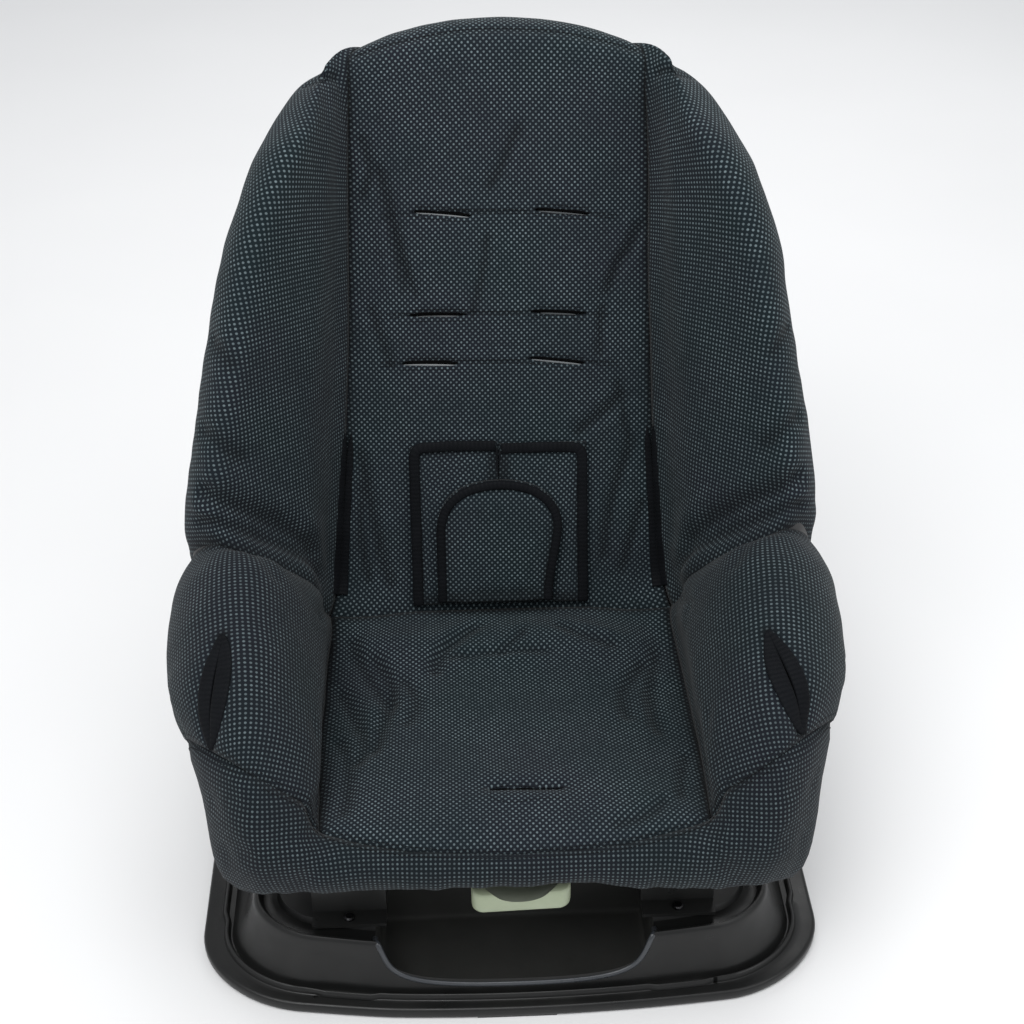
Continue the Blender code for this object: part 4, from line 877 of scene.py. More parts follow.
def ribbon(name, path, facing, half_width, half_height, finish, sides=12, squareness=0.62):
    """A rounded flat tape along a path. Its half width may be one number or one for each point."""
    path, facing = np.asarray(path, float), np.asarray(facing, float)
    along = unit(np.gradient(path, axis=0))
    side = unit(np.cross(along, facing))
    up = unit(np.cross(side, along))
    angle = np.arange(sides) * 2 * math.pi / sides
    wide = np.sign(np.cos(angle)) * np.abs(np.cos(angle)) ** squareness
    tall = np.sign(np.sin(angle)) * np.abs(np.sin(angle)) ** squareness
    half_width = np.broadcast_to(np.asarray(half_width, float), len(path))[:, None, None]
    rings = path[:, None] + side[:, None] * half_width * wide[:, None]
    rings = rings + up[:, None] * half_height * tall[:, None]
    count = len(path)
    run = lengths_along(path)
    uv = np.stack(np.broadcast_arrays(run[:, None], (angle * 0.002)[None, :]), -1).reshape(-1, 2)
    faces = []
    for i in range(count - 1):
        for j in range(sides):
            k = (j + 1) % sides
            faces.append((i * sides + j, i * sides + k, (i + 1) * sides + k, (i + 1) * sides + j))
    faces.append(tuple(range(sides))[::-1])
    faces.append(tuple((count - 1) * sides + j for j in range(sides)))
    made = add_mesh(name, rings.reshape(-1, 3), faces, finish, uv)
    return made


STITCH_PITCH, STITCH_LENGTH, STITCH_RADIUS = 0.0034, 0.0021, 0.00032


def stitches(name, lines):
    """Rows of short threads, each line a pair of its points and their facings."""
    points, faces = [], []
    sides = 5
    for path, facing in lines:
        run = lengths_along(path)
        for start in np.arange(STITCH_PITCH / 2, run[-1] - STITCH_LENGTH, STITCH_PITCH):
            first = len(points)
            for k, share in enumerate((0.0, 0.5, 1.0)):
                at = start + share * STITCH_LENGTH
                middle = np.array([np.interp(at, run, path[:, n]) for n in range(3)])
                out = unit(np.array([np.interp(at, run, facing[:, n]) for n in range(3)]))
                ahead = np.array([np.interp(at + 0.0005, run, path[:, n]) for n in range(3)])
                aside = unit(np.cross(ahead - middle, out))
                middle = middle + out * (0.00010 if k != 1 else 0.00042)
                thick = STITCH_RADIUS * (0.55 if k != 1 else 1.0)
                for a in np.arange(sides) * 2 * math.pi / sides:
                    points.append(middle + (aside * math.cos(a) + out * math.sin(a)) * thick)
            for k in range(2):
                for j in range(sides):
                    m = (j + 1) % sides
                    a, b = first + k * sides, first + (k + 1) * sides
                    faces.append((a + j, a + m, b + m, b + j))
            faces.append(tuple(first + j for j in range(sides))[::-1])
            faces.append(tuple(first + 2 * sides + j for j in range(sides)))
    made = add_mesh(name, points, faces, DARK_THREAD)
    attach(made, "seat")
    return made


def shifted(path, facing, aside):
    """A line moved sideways over its surface."""
    along = unit(np.gradient(path, axis=0))
    return path + unit(np.cross(along, facing)) * np.broadcast_to(np.asarray(aside, float), len(path))[:, None]


def make_slit_edges():
    """The welt along each strap slit's lower lip, pale as a painted highlight, and the stitched box round the
    slit.
    """
    boxes = []
    welts = (("lower_right", 0, 0, 0.88), ("lower_left", 0, 1, 0.88), ("middle_right", 1, 0, 0.70),
             ("middle_left", 1, 1, 0.60), ("upper_right", 2, 0, 0.92), ("upper_left", 2, 1, 0.80))
    lines = {}
    for name, level, which, share in welts:
        up, *spots = SHOULDER_SLITS[level]
        lines[name] = (slit_marks_on_back(up, *spots[which]), share)
    lines["crotch"] = (CROTCH_SLIT, 0.85)
    for name, (marks, share) in lines.items():
        path, facing = on_covers(marks, 30)
        middle = len(path) // 2
        keep = slice(int(middle - middle * share), int(middle + middle * share) + 1)
        base_line = surface(*resampled(smooth_line(marks, 60), 30).T)
        out = eased(facing, 30)
        down = shifted(base_line, out, 0.0013) - out * 0.0004
        taper = np.sqrt(np.sin(np.pi * np.linspace(0.04, 0.96, len(down[keep]))))
        # The welt's paleness is painted highlight: dimmer on the middle slits and the upper left one.
        bright = DIM_WELT_HIGHLIGHT if "middle" in name or name == "upper_left" else WELT_HIGHLIGHT
        welt = ribbon(f"slit_welt_{name}", down[keep], out[keep], 0.00085 * taper, 0.0006, bright)
        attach(welt, "seat")
        # A near-black strip in the slit's mouth: painted shadow.
        mouth = shifted(base_line, out, -0.0009) - out * 0.0002
        taper = 0.0011 * np.sqrt(np.sin(np.pi * np.linspace(0.06, 0.94, len(mouth)))) + 0.0003
        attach(ribbon(f"slit_mouth_shadow_{name}", mouth, out, taper, 0.0007, SLIT_SHADOW), "seat")
        for aside in (-0.0046, 0.0050):
            boxes.append(shifted(base_line + out * 0.0002, out, aside))
    seams = []
    for line in boxes:
        seams.append(laid(line, np.repeat([[0.0, -1.0, 0.55]], len(line), 0), 0.0001))
    return seams


def make_belt_slits():
    """Tapes on both edges of the long slits where the back meets the wings."""
    for side in (-1, 1):
        hand = "right" if side < 0 else "left"
        low, high = BELT_SLIT_ROWS
        for edge, column in (("inner", 1.985), ("outer", 2.015)):
            marks = [(low + (high - low) * t, side * column) for t in (0, 0.25, 0.5, 0.75, 1)]
            pairs = resampled(smooth_line(marks, 120), 60)
            base_line = surface(*pairs.T)
            out = np.repeat([[-0.45 * side if edge == "outer" else -0.1 * side, -0.94, 0.34]], 60, 0)
            aside = 0.0017 if (edge == "outer") == (side > 0) else -0.0017
            path = shifted(base_line, out, aside)
            path, facing = laid(path, out, 0.0007)
            rounded_top = rise(np.linspace(0, 8, 60)[::-1] + 0.25)
            width = 0.0034 * np.linspace(1.25, 0.75, 60) * rounded_top
            tape = ribbon(f"belt_slit_{edge}_{hand}", eased(path, 12), eased(facing, 12), width, 0.0014, TAPE)
            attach(tape, "seat")


def make_arm_slits():
    """The bound lens-shaped slits on the armrests: a tape along each edge, nearly closed between them."""
    for side in (-1, 1):
        hand = "right" if side < 0 else "left"
        marks = [(r, side * c) for r, c in ARM_SLITS[side]]
        path, facing = on_covers(marks, 60)
        path, facing = eased(path, 20), eased(facing, 20)
        t = np.linspace(0, 1, 60)
        swell = np.sin(np.pi * t) ** 0.75
        for edge, lean in (("inner", 1), ("outer", -1)):
            aside = side * lean * (0.0064 * swell + 0.0004)
            line = shifted(path, facing, aside) + facing * (0.0012 + 0.0014 * swell)[:, None]
            width = (0.0058 if lean > 0 else 0.0048) * swell**0.8 + 0.0010
            tape = ribbon(f"arm_slit_{edge}_{hand}", line, facing, width, 0.0017, TAPE, 14)
            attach(tape, "seat")
        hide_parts(f"belt_guide_{hand}")
        # A near-black strip in the slit between the tapes: painted shadow.
        bed, width = path + facing * 0.0004, 0.0042 * swell + 0.0004
        well = ribbon(f"arm_slit_shadow_{hand}", bed, facing, width, 0.0012, SLIT_SHADOW)
        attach(well, "seat")


# ---- flaps and crotch pad --------------------------------------------------------------------------------


def back_points(x, up, out):
    """Points near the back from arrays of across, up and out."""
    x, up, out = np.broadcast_arrays(x, up, out)
    y = BIGHT_Y + up * TILT_SIN - out * TILT_COS
    return np.stack([x, y, BIGHT_Z + up * TILT_COS + out * TILT_SIN], -1)


BACK_FACING = np.array((0.0, -TILT_COS, TILT_SIN))
FLAP_HALF, FLAP_FOOT, FLAP_TOP, FLAP_BACK, FLAP_FACE = 0.0735, 0.006, 0.1440, 0.0022, 0.0046
BINDING_HALF = 0.0044


def quilt(name, x, up, out_face, out_back, turn, nodes, body):
    """A small pad from grids of across and up, and how far out its face and back stand."""
    front, behind = back_points(x, up, out_face), back_points(x, up, out_back)
    uv = np.stack([x * math.cos(turn) + up * math.sin(turn), up * math.cos(turn) - x * math.sin(turn)], -1)
    edge = np.minimum.reduce(edge_distances(front))
    # Painted shade along the pad's edges, under its binding.
    made = closed_sheet(name, front, behind, FABRIC, uv, 0.55 * np.exp(-np.maximum(edge - 0.007, 0) / 0.0022))
    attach(made, body)
    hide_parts(*nodes)
    return made


def make_flaps():
    """Two flaps over the belt path's access hole, bound along their tops and outer sides."""
    for side in (-1, 1):
        hand = "right" if side < 0 else "left"
        across = np.linspace(0.0006, FLAP_HALF - 0.001, 26) * side
        x, up = np.meshgrid(np.sort(across), np.linspace(FLAP_FOOT, FLAP_TOP - 0.001, 46))
        up = up + 0.0030 * (side < 0) * (np.abs(x) / FLAP_HALF - 0.5) * -1 * rise((up - 0.1) / 0.04)
        ripple = 0.0007 * np.sin(x * 90 + 1.3 * side) * np.sin(up * 55 + side)
        bow = 0.0012 * rise((FLAP_HALF - np.abs(x)) / 0.02) * rise((FLAP_TOP - up) / 0.02)
        quilt(f"flap_{hand}", x, up, FLAP_FACE + bow + ripple, FLAP_BACK + 0 * x, math.radians(45 - 4 * side),
              (f"belt_flap_{hand}",), "seat")
        edge = FLAP_HALF - BINDING_HALF
        top = FLAP_TOP - BINDING_HALF + (0.0015 if side < 0 else -0.0010)
        corner = 0.004
        marks = [(edge, FLAP_FOOT), (edge, 0.05), (edge, top - corner), (edge - corner, top)]
        marks += [(0.04, top + 0.0010), (0.0025, top + 0.0004)]
        pairs = resampled([(side * x, up) for x, up in marks], 90)
        pairs = eased(pairs, 3)
        path = back_points(pairs[:, 0], pairs[:, 1], np.full(90, FLAP_FACE + 0.0006))
        facing = np.repeat(BACK_FACING[None], 90, 0)
        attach(ribbon(f"flap_binding_{hand}", path, facing, BINDING_HALF, 0.0022, TAPE), "seat")
        ups = np.linspace(FLAP_FOOT + 0.02, top - 0.002, 40)
        path = back_points(np.full(40, side * 0.0013), ups, np.full(40, FLAP_FACE + 0.0004))
        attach(ribbon(f"flap_split_{hand}", path, facing[:40], 0.0011, 0.0014, TAPE, 8), "seat")


TONGUE_FOOT, TONGUE_TOP, TONGUE_BACK, TONGUE_FACE = 0.0105, 0.1135, 0.0072, 0.0116


def tongue_half(t, side):
    """Half the crotch pad's width at a share of its height, on one side: straight, then rounded at the top."""
    round_from = 0.56
    over = np.clip((t - round_from) / (1 - round_from), 0, 1)
    half = 0.0525 * (1 - over**2.6) ** (1 / 2.3)
    if side > 0:
        half = half - 0.0095 * (1 - rise(t / 0.75))
    return half


def make_tongue():
    """The crotch pad: a bound tongue with a slit near its foot."""
    share = 1 - (1 - np.linspace(0, 1, 48)) ** 1.35
    share = np.minimum(share, 0.9985)
    sway = np.linspace(-1, 1, 40)
    wide = np.where(sway[None, :] < 0, tongue_half(share, -1)[:, None], tongue_half(share, 1)[:, None])
    x = sway[None, :] * (wide - 0.0008)
    up = (TONGUE_FOOT + share * (TONGUE_TOP - TONGUE_FOOT))[:, None] + 0 * x
    edge = (1 - np.abs(sway)[None, :]) * wide
    rest = rise(np.minimum(edge, (TONGUE_TOP - up)) / 0.024)
    slit = bell((up - 0.0175) / 0.0011) * rise((0.024 - np.abs(x)) / 0.003)
    fold = bell((up - 0.0175) / 0.0050) * rise((0.036 - np.abs(x)) / 0.012)
    face = TONGUE_FACE + 0.0034 * rest - 0.0016 * fold - 0.0022 * slit
    quilt("tongue", x, up, face, TONGUE_BACK + 0 * x, math.radians(45), ("crotch_pad",), "crotch_pad")
    t = np.linspace(0, 1, 60)
    t = 1 - (1 - t) ** 1.8
    sides = [[(side * (tongue_half(s, side) - 0.0036), TONGUE_FOOT + s * (TONGUE_TOP - TONGUE_FOOT - 0.0036))
              for s in t] for side in (-1, 1)]
    pairs = resampled(sides[0] + sides[1][::-1][1:], 150)
    pairs = eased(pairs, 4)
    path = back_points(pairs[:, 0], pairs[:, 1], np.full(150, TONGUE_FACE - 0.0002))
    facing = np.repeat(BACK_FACING[None], 150, 0)
    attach(ribbon("tongue_binding", path, facing, 0.0037, 0.0032, TAPE, 14), "crotch_pad")
    # The pale strip on the tongue slit's lip is a painted highlight.
    xs = np.linspace(-0.012, 0.016, 24)
    path = back_points(xs, np.full(24, 0.0170), np.full(24, TONGUE_FACE + 0.0006))
    taper = np.sqrt(np.sin(np.pi * np.linspace(0.04, 0.96, 24)))
    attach(ribbon("tongue_slit_welt", path, facing[:24], 0.0005 * taper, 0.0004, WELT_HIGHLIGHT, 8), "crotch_pad")


make_belt_slits()
make_arm_slits()
SLIT_SEAMS = make_slit_edges()
make_flaps()
make_tongue()


def make_seam_stitches():
    lines = list(SLIT_SEAMS)
    lift = 0.0001
    edge = [(np.interp(c, SKIRT_COLUMNS, SKIRT_ROWS), c) for c in SKIRT_COLUMNS[:-1]]
    for away in (-0.13, 0.11):
        marks = [(r + away, -c) for r, c in edge[::-1]] + [(r + away, c) for r, c in edge[1:]]
        lines.append(on_covers(marks, 200, lift))
    for up, _, _ in SHOULDER_SLITS:
        row = row_up_the_back(up)
        for away in (-0.02, 0.03):
            marks = [(row + away + 0.02, -1.6), (row + away, 0.0), (row + away - 0.04, 1.6)]
            lines.append(on_covers(marks, 60, lift))
    lines.append(on_covers([(18.40, -1.9), (18.40, -0.9), (18.40, 0.0), (18.40, 0.9), (18.40, 1.9)], 60, lift))
    stitches("seam_stitches", lines)


make_seam_stitches()


# ---- the moulded shell ------------------------------------------------------------------------------------

CUBE_FACES = ((0, 1, 3, 2), (4, 6, 7, 5), (0, 4, 5, 1), (2, 3, 7, 6), (0, 2, 6, 4), (1, 5, 7, 3))


def faces_out(made):
    shape = bmesh.new()
    shape.from_mesh(made.data)
    bmesh.ops.recalc_face_normals(shape, faces=shape.faces)
    if shape.calc_volume(signed=True) < 0:
        bmesh.ops.reverse_faces(shape, faces=shape.faces)
    shape.to_mesh(made.data)
    shape.free()


def boxes(name, spans, finish):
    """Boxes that stand apart, in one object, each from its low to its high corner."""
    points, faces = [], []
    for low, high in spans:
        faces += [[len(points) + i for i in face] for face in CUBE_FACES]
        points += [(x, y, z) for x in (low[0], high[0]) for y in (low[1], high[1]) for z in (low[2], high[2])]
    made = add_mesh(name, points, faces, finish)
    faces_out(made)
    return made


def carved(made, cutter, crease=35):
    """Takes the cutter out of the piece, and removes the cutter."""
    change = made.modifiers.new("Cut", "BOOLEAN")
    change.object = cutter
    change.material_mode = "TRANSFER"
    bpy.context.view_layer.update()
    evaluated = made.evaluated_get(bpy.context.evaluated_depsgraph_get())
    mesh = bpy.data.meshes.new_from_object(evaluated)
    made.modifiers.clear()
    made.data = mesh
    bpy.data.objects.remove(cutter)
    mesh.shade_smooth()
    mesh.set_sharp_from_angle(angle=math.radians(crease))


SHELL_GAP, SHELL_WALL = 0.0025, 0.0034
RIB_COLUMNS, RIB_ROWS = (0.25, 1.45), (9.7, 11.0, 12.05, 13.9, 15.5)
RIB_HEIGHT = 0.0050


def marks_with_ribs(low, high, count, ribs, half):
    """Even marks from low to high, with four close ones across each rib."""
    marks = list(np.linspace(low, high, count))
    for rib in ribs:
        marks = [m for m in marks if abs(m - rib) > 1.9 * half]
        marks += [rib - 1.5 * half, rib - half, rib, rib + half, rib + 1.5 * half]
    return np.sort(marks)


def eased_grid(grid, share, passes):
    """The grid with its creases eased where share is more than nothing."""
    for _ in range(passes):
        around = grid.copy()
        around[1:-1, 1:-1] = (grid[:-2, 1:-1] + grid[2:, 1:-1] + grid[1:-1, :-2] + grid[1:-1, 2:]) / 4
        around[1:-1, (0, -1)] = (grid[:-2, (0, -1)] + grid[2:, (0, -1)]) / 2
        grid = grid + (around - grid) * share
    return grid


def make_shell():
    """The bucket behind the covers, ribbed on its back, with slots for the straps and the belt."""
    ribs = sorted([-c for c in RIB_COLUMNS] + list(RIB_COLUMNS))
    rows = marks_with_ribs(0.6, 17.7, 150, RIB_ROWS, 0.045)
    columns = marks_with_ribs(-HEM + 0.25, HEM - 0.25, 110, ribs, 0.045)
    width = 1 - 0.70 * rise((rows - 13.5) / 4.1)
    row_grid, column_grid = np.meshgrid(rows, columns, indexing="ij")
    spread_columns = column_grid * width[:, None]
    base = surface(row_grid, spread_columns)
    above = np.clip((row_grid - 10) / 3, 0, 1)
    near_seam = np.maximum(0, 1 - np.abs(np.abs(spread_columns) - 2) / 1.6)
    depth = padding(row_grid, spread_columns) + SHELL_GAP + 0.0080 * above * near_seam
    low_front = 0.004 * (1 - rise((row_grid - 0.6) / 1.5))
    inner = base - normals(base) * (depth + low_front)[..., None]
    share = (0.5 * np.clip((row_grid - 9.5) / 2, 0, 1))[..., None]
    inner = eased_grid(inner, share, 60)
    away = normals(inner)
    nearest = np.minimum.reduce(edge_distances(inner))
    thick = SHELL_WALL + 0.0018 * (1 - rise((nearest - 0.004) / 0.003))
    outer = inner - away * thick[..., None]
    on_back = rise((row_grid - 9.2) / 0.3) * rise((16.4 - row_grid) / 0.3)
    on_back = on_back * rise((2.05 - np.abs(column_grid)) / 0.1)
    rib = np.zeros_like(row_grid)
    for place in ribs:
        rib = np.maximum(rib, 1 - rise((np.abs(column_grid - place) - 0.045) / 0.0225))
    for place in RIB_ROWS:
        rib = np.maximum(rib, 1 - rise((np.abs(row_grid - place) - 0.045) / 0.0225))
    outer = outer - away * (RIB_HEIGHT * rib * on_back)[..., None]
    flat = np.stack([row_grid, column_grid], -1) * 0.05
    made = closed_sheet("bucket_shell", inner, outer, SHELL_BLACK, flat, np.zeros_like(row_grid))
    faces_out(made)
    spans = []
    for up in (0.213, 0.251, 0.331):
        y, z = BIGHT_Y + up * TILT_SIN + 0.011, BIGHT_Z + up * TILT_COS - 0.004
        spans += [((x - 0.023, y - 0.06, z - 0.004), (x + 0.023, y + 0.10, z + 0.004)) for x in (-0.048, 0.048)]
    spans.append(((-0.0275, -0.1795, 0.12), (0.0275, -0.1705, 0.20)))
    spans += [((x - 0.0075, 0.02, 0.185), (x + 0.0075, 0.22, 0.285)) for x in (-0.131, 0.131)]
    carved(made, boxes("shell_slots", spans, SHELL_BLACK))
    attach(made, "seat")
    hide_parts("seat_shell")


make_shell()


# ---- the tray and the lever -------------------------------------------------------------------------------

BASE_HALF_WIDTH, BASE_FRONT, BASE_REAR = 0.240, -0.2490, 0.240
BASE_CORNER, BASE_BOW, BOW_DEPTH = 0.080, 0.018, 0.10
DECK_Z, RECESS_FLOOR = 0.0546, 0.0075
RECESS_HALF, RECESS_FRONT, RECESS_SHOULDER, RECESS_REAR = 0.1055, -0.2322, -0.2095, -0.152


def tray_outline(side_inset, end_inset):
    """One outline of the tray in plan: round corners, and a front edge that bows forward."""
    half = BASE_HALF_WIDTH - side_inset
    front, rear = BASE_FRONT + end_inset, BASE_REAR - end_inset
    radius = BASE_CORNER - 0.5 * (side_inset + end_inset)
    points = []
    for sx, sy, first, straight in ((1, 1, 0, 30), (-1, 1, 90, 26), (-1, -1, 180, 44), (1, -1, 270, 26)):
        centre = np.array((sx * (half - radius), (rear if sy > 0 else front) - sy * radius))
        angle = np.radians(first + np.linspace(0, 90, 22))
        corner = centre + radius * np.stack([np.cos(angle), np.sin(angle)], -1)
        points.append((corner, straight))
    line = []
    for k, (corner, straight) in enumerate(points):
        after = points[(k + 1) % 4][0][0]
        share = np.linspace(0, 1, straight + 2)[1:-1, None]
        line += [corner, corner[-1] + (after - corner[-1]) * share]
    line = np.concatenate(line)
    share = np.clip(1 - (line[:, 1] - front) / BOW_DEPTH, 0, 1)
    line[:, 1] += BASE_BOW * (line[:, 0] / half) ** 2 * share
    return line


# The tray's section from its foot to its deck: how far in from the sides and from the ends, and its height.
FLANGE = (
    (0.0008, 0.0006, 0.0014), (0.0003, 0.0003, 0.0022), (0.0, 0.0, 0.0036), (0.0, 0.0, 0.0076),
    (0.0005, 0.0005, 0.0090), (0.0015, 0.0014, 0.0098), (0.0032, 0.0026, 0.0101), (0.0090, 0.0060, 0.0101),
    (0.0150, 0.0086, 0.0101),
)
RIDGE = (
    (0.0158, 0.0092, 0.0105), (0.0164, 0.0096, 0.0118), (0.0170, 0.0101, 0.0134), (0.0178, 0.0107, 0.0144),
    (0.0187, 0.0114, 0.0147), (0.0195, 0.0121, 0.0143), (0.0200, 0.0126, 0.0130), (0.0204, 0.0130, 0.0110),
    (0.0212, 0.0135, 0.0097), (0.0222, 0.0141, 0.0095), (0.0232, 0.0148, 0.0102),
)
RIM = (
    (0.0412, 0.0212, 0.0500), (0.0419, 0.0218, 0.0530), (0.0430, 0.0226, 0.0552), (0.0446, 0.0238, 0.0564),
    (0.0464, 0.0251, 0.0562), (0.0479, 0.0262, 0.0548), (0.0489, 0.0270, 0.0522), (0.0500, 0.0282, 0.0504),
    (0.0520, 0.0300, 0.0498), (0.0570, 0.0350, 0.0498), (0.0600, 0.0385, 0.0504), (0.0614, 0.0400, 0.0530),
    (0.0626, 0.0410, 0.0546),
)


def wall_steps(count=14):
    """The wall between the ridge and the rim, hollowed slightly."""
    foot, head = np.array(RIDGE[-1]), np.array(RIM[0])
    steps = []
    for t in np.linspace(0, 1, count + 2)[1:-1]:
        step = foot + (head - foot) * t
        step[:2] += 0.0016 * math.sin(math.pi * t) * np.array((1.0, 0.6))
        steps.append(tuple(step))
    return tuple(steps)


def recess_plan(inset, count=60):
    """The finger recess in plan: a D whose round front follows the tray's."""
    half = RECESS_HALF - inset
    angle = np.linspace(0, math.pi, count)
    depth = (RECESS_SHOULDER - RECESS_FRONT - inset) * np.sin(angle) ** 0.42
    front = np.stack([half * np.cos(angle), RECESS_SHOULDER - depth], -1)
    rear = RECESS_REAR - inset
    return np.concatenate([[(half, rear)], front, [(-half, rear)]])


def capped(name, rings, finish):
    """A solid through rings of points, capped at both ends."""
    count = len(rings[0])
    points = np.concatenate(rings)
    faces = [tuple(range(count)), tuple(range(len(points) - count, len(points)))]
    for k in range(len(rings) - 1):
        for i in range(count):
            j = (i + 1) % count
            faces.append((k * count + i, k * count + j, (k + 1) * count + j, (k + 1) * count + i))
    made = add_mesh(name, points, faces, finish)
    faces_out(made)
    return made


def at_height(outline, z):
    return np.concatenate([outline, np.full((len(outline), 1), z)], 1)


CLIP_FROM, CLIP_TO, CLIP_Y = 0.1010, 0.1500, -0.150
TRAY_WIDER, TRAY_ASIDE, RIDGE_INSET = 1.008, -0.0012, 0.0114


def make_tray():
    """The tray that stands on the ground, with a ridge inside its flange and a finger recess at its front."""
    rings = []
    for side_inset, end_inset, z in FLANGE + RIDGE + wall_steps() + RIM:
        ring = at_height(tray_outline(side_inset, end_inset), z)
        if (side_inset, end_inset, z) in RIDGE[:-2]:
            x, y = np.abs(ring[:, 0]), ring[:, 1]
            at_front = rise((x - CLIP_FROM) / 0.0012) * rise((CLIP_TO - x) / 0.0012) * (y < -0.15)
            at_side = rise((y - CLIP_Y) / 0.0012) * (x > 0.15)
            ring[:, 1] -= 0.0016 * at_front
            ring[:, 0] += np.sign(ring[:, 0]) * 0.0028 * at_side
        ring[:, 0] = TRAY_WIDER * ring[:, 0] + TRAY_ASIDE
        ring[:, 1] += 0.0035 * rise((-ring[:, 0] - 0.08) / 0.10) * (ring[:, 1] < -0.16)
        rings.append(ring)
    made = capped("rocker_tray", rings, BASE_BLACK)
    cutter = []
    for inset, z in ((0.0065, RECESS_FLOOR), (0.0040, RECESS_FLOOR + 0.0006), (0.0022, RECESS_FLOOR + 0.0022),
                     (0.0014, RECESS_FLOOR + 0.0046), (0.0, DECK_Z - 0.004), (-0.0012, DECK_Z + 0.012)):
        cutter.append(at_height(recess_plan(inset), z))
    # The recess's paler plastic is painted light.
    hollow = capped("tray_recess", cutter, RECESS_LIT)
    surface_tree = tree_of([made])
    carved(made, hollow)
    notches = []
    for side in (-1, 1):
        y = BASE_FRONT + RIDGE_INSET + BASE_BOW * (CLIP_TO / BASE_HALF_WIDTH) ** 2
        notches.append(((side * (CLIP_TO + 0.002) - 0.0016, y - 0.0016, 0.0085),
                        (side * (CLIP_TO + 0.002) + 0.0016, y + 0.0010, 0.02)))
    carved(made, boxes("ridge_holes", notches, BASE_BLACK))
    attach(made, "base")
    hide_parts("base_tray")
    # A rounded lip runs round the front of the recess, on whatever height the tray has there.
    plan = resampled(recess_plan(0.0)[1:-1], 160)
    lip, out = [], []
    for x, y in plan:
        hit, normal, _, _ = surface_tree.ray_cast(Vector((x, y, 0.2)), Vector((0, 0, -1)))
        lip.append(hit)
        out.append(normal)
    lip, out = eased(np.array(lip), 6), eased(np.array(out), 30)
    # The lip's paler plastic is a painted highlight along the rim.
    made = ribbon("recess_lip", lip - out * 0.0003, out, 0.0021, 0.0017, LIP_HIGHLIGHT, 12, 0.9)
    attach(made, "base")


LEVER_TILT, LEVER_ASIDE = math.tan(math.radians(2.2)), 0.0030


def make_lever():
    """The paddle: a rounded block with a scooped finger hollow, its front left as a lip."""
    half, front, back_edge, low, high = 0.0358, -0.2440, -0.2060, 0.1108, 0.1290
    rings = []
    for inset, z in ((0.0030, low), (0.0012, low + 0.0006), (0.0003, low + 0.0018), (0.0, low + 0.0040),
                     (0.0, high - 0.0040), (0.0005, high - 0.0020), (0.0016, high - 0.0006), (0.0036, high)):
        corner = 0.0090 - inset
        ring = []
        for sx, sy, first in ((1, 1, 0), (-1, 1, 90), (-1, -1, 180), (1, -1, 270)):
            centre = (sx * (half - 0.009), (back_edge - 0.009) if sy > 0 else (front + 0.009))
            for a in np.radians(first + np.linspace(0, 90, 12)):
                ring.append((centre[0] + corner * math.cos(a), centre[1] + corner * math.sin(a), z))
        rings.append(np.array(ring))
    made = capped("lever_paddle", rings, CREAM)
    # The hollow is an egg shape sunk into the top from above, its darker cream painted shade.
    steps, turns = 22, 48
    egg = []
    for i in range(1, steps):
        polar = math.pi * i / steps
        for j in range(turns):
            a = 2 * math.pi * j / turns
            across, along = 0.0330 * math.sin(polar) * math.cos(a), 0.0370 * math.sin(polar) * math.sin(a)
            egg.append((across, -0.2140 + along, 0.1315 + 0.0175 * math.cos(polar)))
    egg = np.array(egg).reshape(steps - 1, turns, 3)
    carved(made, capped("finger_hollow", list(egg), SHADED_CREAM), 50)
    softer = made.modifiers.new("Edges", "BEVEL")
    softer.width, softer.segments = 0.0009, 3
    softer.limit_method, softer.angle_limit = "ANGLE", math.radians(30)
    for vertex in made.data.vertices:
        vertex.co.z += LEVER_TILT * vertex.co.x
        vertex.co.x += LEVER_ASIDE
    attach(made, "lever")
    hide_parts("recline_lever")


make_tray()
make_lever()

# ---- CAD nodes that stay ---------------------------------------------------------------------------------

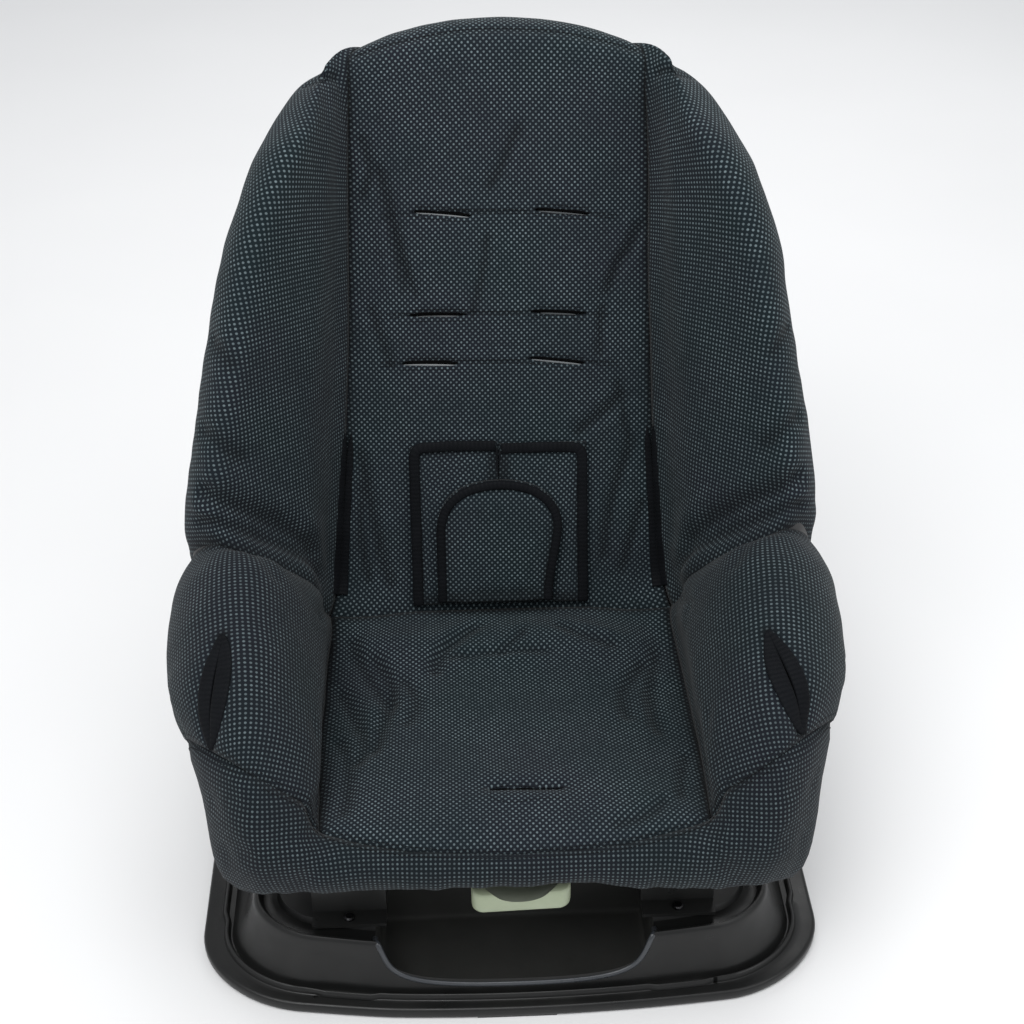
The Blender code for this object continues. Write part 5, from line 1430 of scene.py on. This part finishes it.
KEPT = {
    BLACK_STEEL: ("rail_screw_1", "rail_screw_2", "rail_screw_3", "rail_screw_4"),
    STEEL: ("latch_bolt", "latch_cross_pin", "latch_spring", "lever_arm_left", "lever_arm_right"),
    NYLON: ("glide_left", "glide_right"),
    RUBBER: ("grip_front", "grip_rear", "grip_left", "grip_right"),
    FOAM: ("head_foam_liner", "wing_foam_left", "wing_foam_right"),
    BASE_BLACK: ("recline_rail_left", "recline_rail_right", "notch_rack"),
    SHELL_BLACK: ("latch_housing",),
}
for kept_finish, kept_nodes in KEPT.items():
    for kept in kept_nodes:
        node_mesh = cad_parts[kept].data
        node_mesh.materials.clear()
        node_mesh.materials.append(kept_finish)
for kept, width in (("recline_rail_left", 0.004), ("recline_rail_right", 0.004), ("latch_housing", 0.0015)):
    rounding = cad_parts[kept].modifiers.new("Rounding", "BEVEL")
    rounding.width, rounding.segments, rounding.limit_method = width, 3, "ANGLE"


# ---- light, floor and camera -----------------------------------------------------------------------------


def aimed(obj, place, target):
    obj.location = place
    obj.rotation_euler = (Vector(target) - Vector(place)).to_track_quat("-Z", "Y").to_euler()
    bpy.context.scene.collection.objects.link(obj)
    return obj


def add_light(name, place, target, width, power):
    data = bpy.data.lights.new(name, "AREA")
    data.shape = "SQUARE"
    data.size = width
    data.energy = power
    return aimed(bpy.data.objects.new(name, data), place, target)


def make_floor():
    made, tree, shader = new_material("pale_floor")
    where = put(tree, "ShaderNodeTexCoord").outputs["Object"]
    tone = mixed(tree, noise_of(tree, where, 3.0), colour(0.80, 0.80, 0.80), colour(0.84, 0.84, 0.84))
    tree.links.new(tone, shader.inputs["Base Color"])
    shader.inputs["Roughness"].default_value = 0.9
    side = 6.0
    corners = [(-side, -side, 0), (side, -side, 0), (side, side, 0), (-side, side, 0)]
    floor = add_mesh("floor", corners, [(0, 1, 2, 3)], made)


def make_stage():
    make_floor()
    add_light("key", (-0.8, -1.2, 2.4), (0, 0, 0.25), 1.5, 34.0)
    add_light("fill", (1.5, -1.2, 1.4), (0, 0, 0.25), 1.4, 9.0)
    add_light("top", (0.1, -0.25, 2.3), (0, -0.05, 0.2), 1.2, 13.0)
    add_light("rear", (0.4, 1.8, 1.8), (0, 0, 0.3), 1.6, 14.0)
    world = bpy.data.worlds.new("pale")
    world.use_nodes = True
    sky = world.node_tree.nodes["Background"]
    sky.inputs["Color"].default_value = colour(0.95, 0.97, 1.0)
    sky.inputs["Strength"].default_value = 0.58
    bpy.context.scene.world = world
    data = bpy.data.cameras.new("camera")
    data.lens, data.sensor_width = 59.77, 36.0
    camera = aimed(bpy.data.objects.new("camera", data), (-0.042, -1.080, 1.049), (0.0065, -0.015, 0.302))
    bpy.context.scene.camera = camera
    bpy.context.scene.view_settings.view_transform = "Standard"


make_stage()
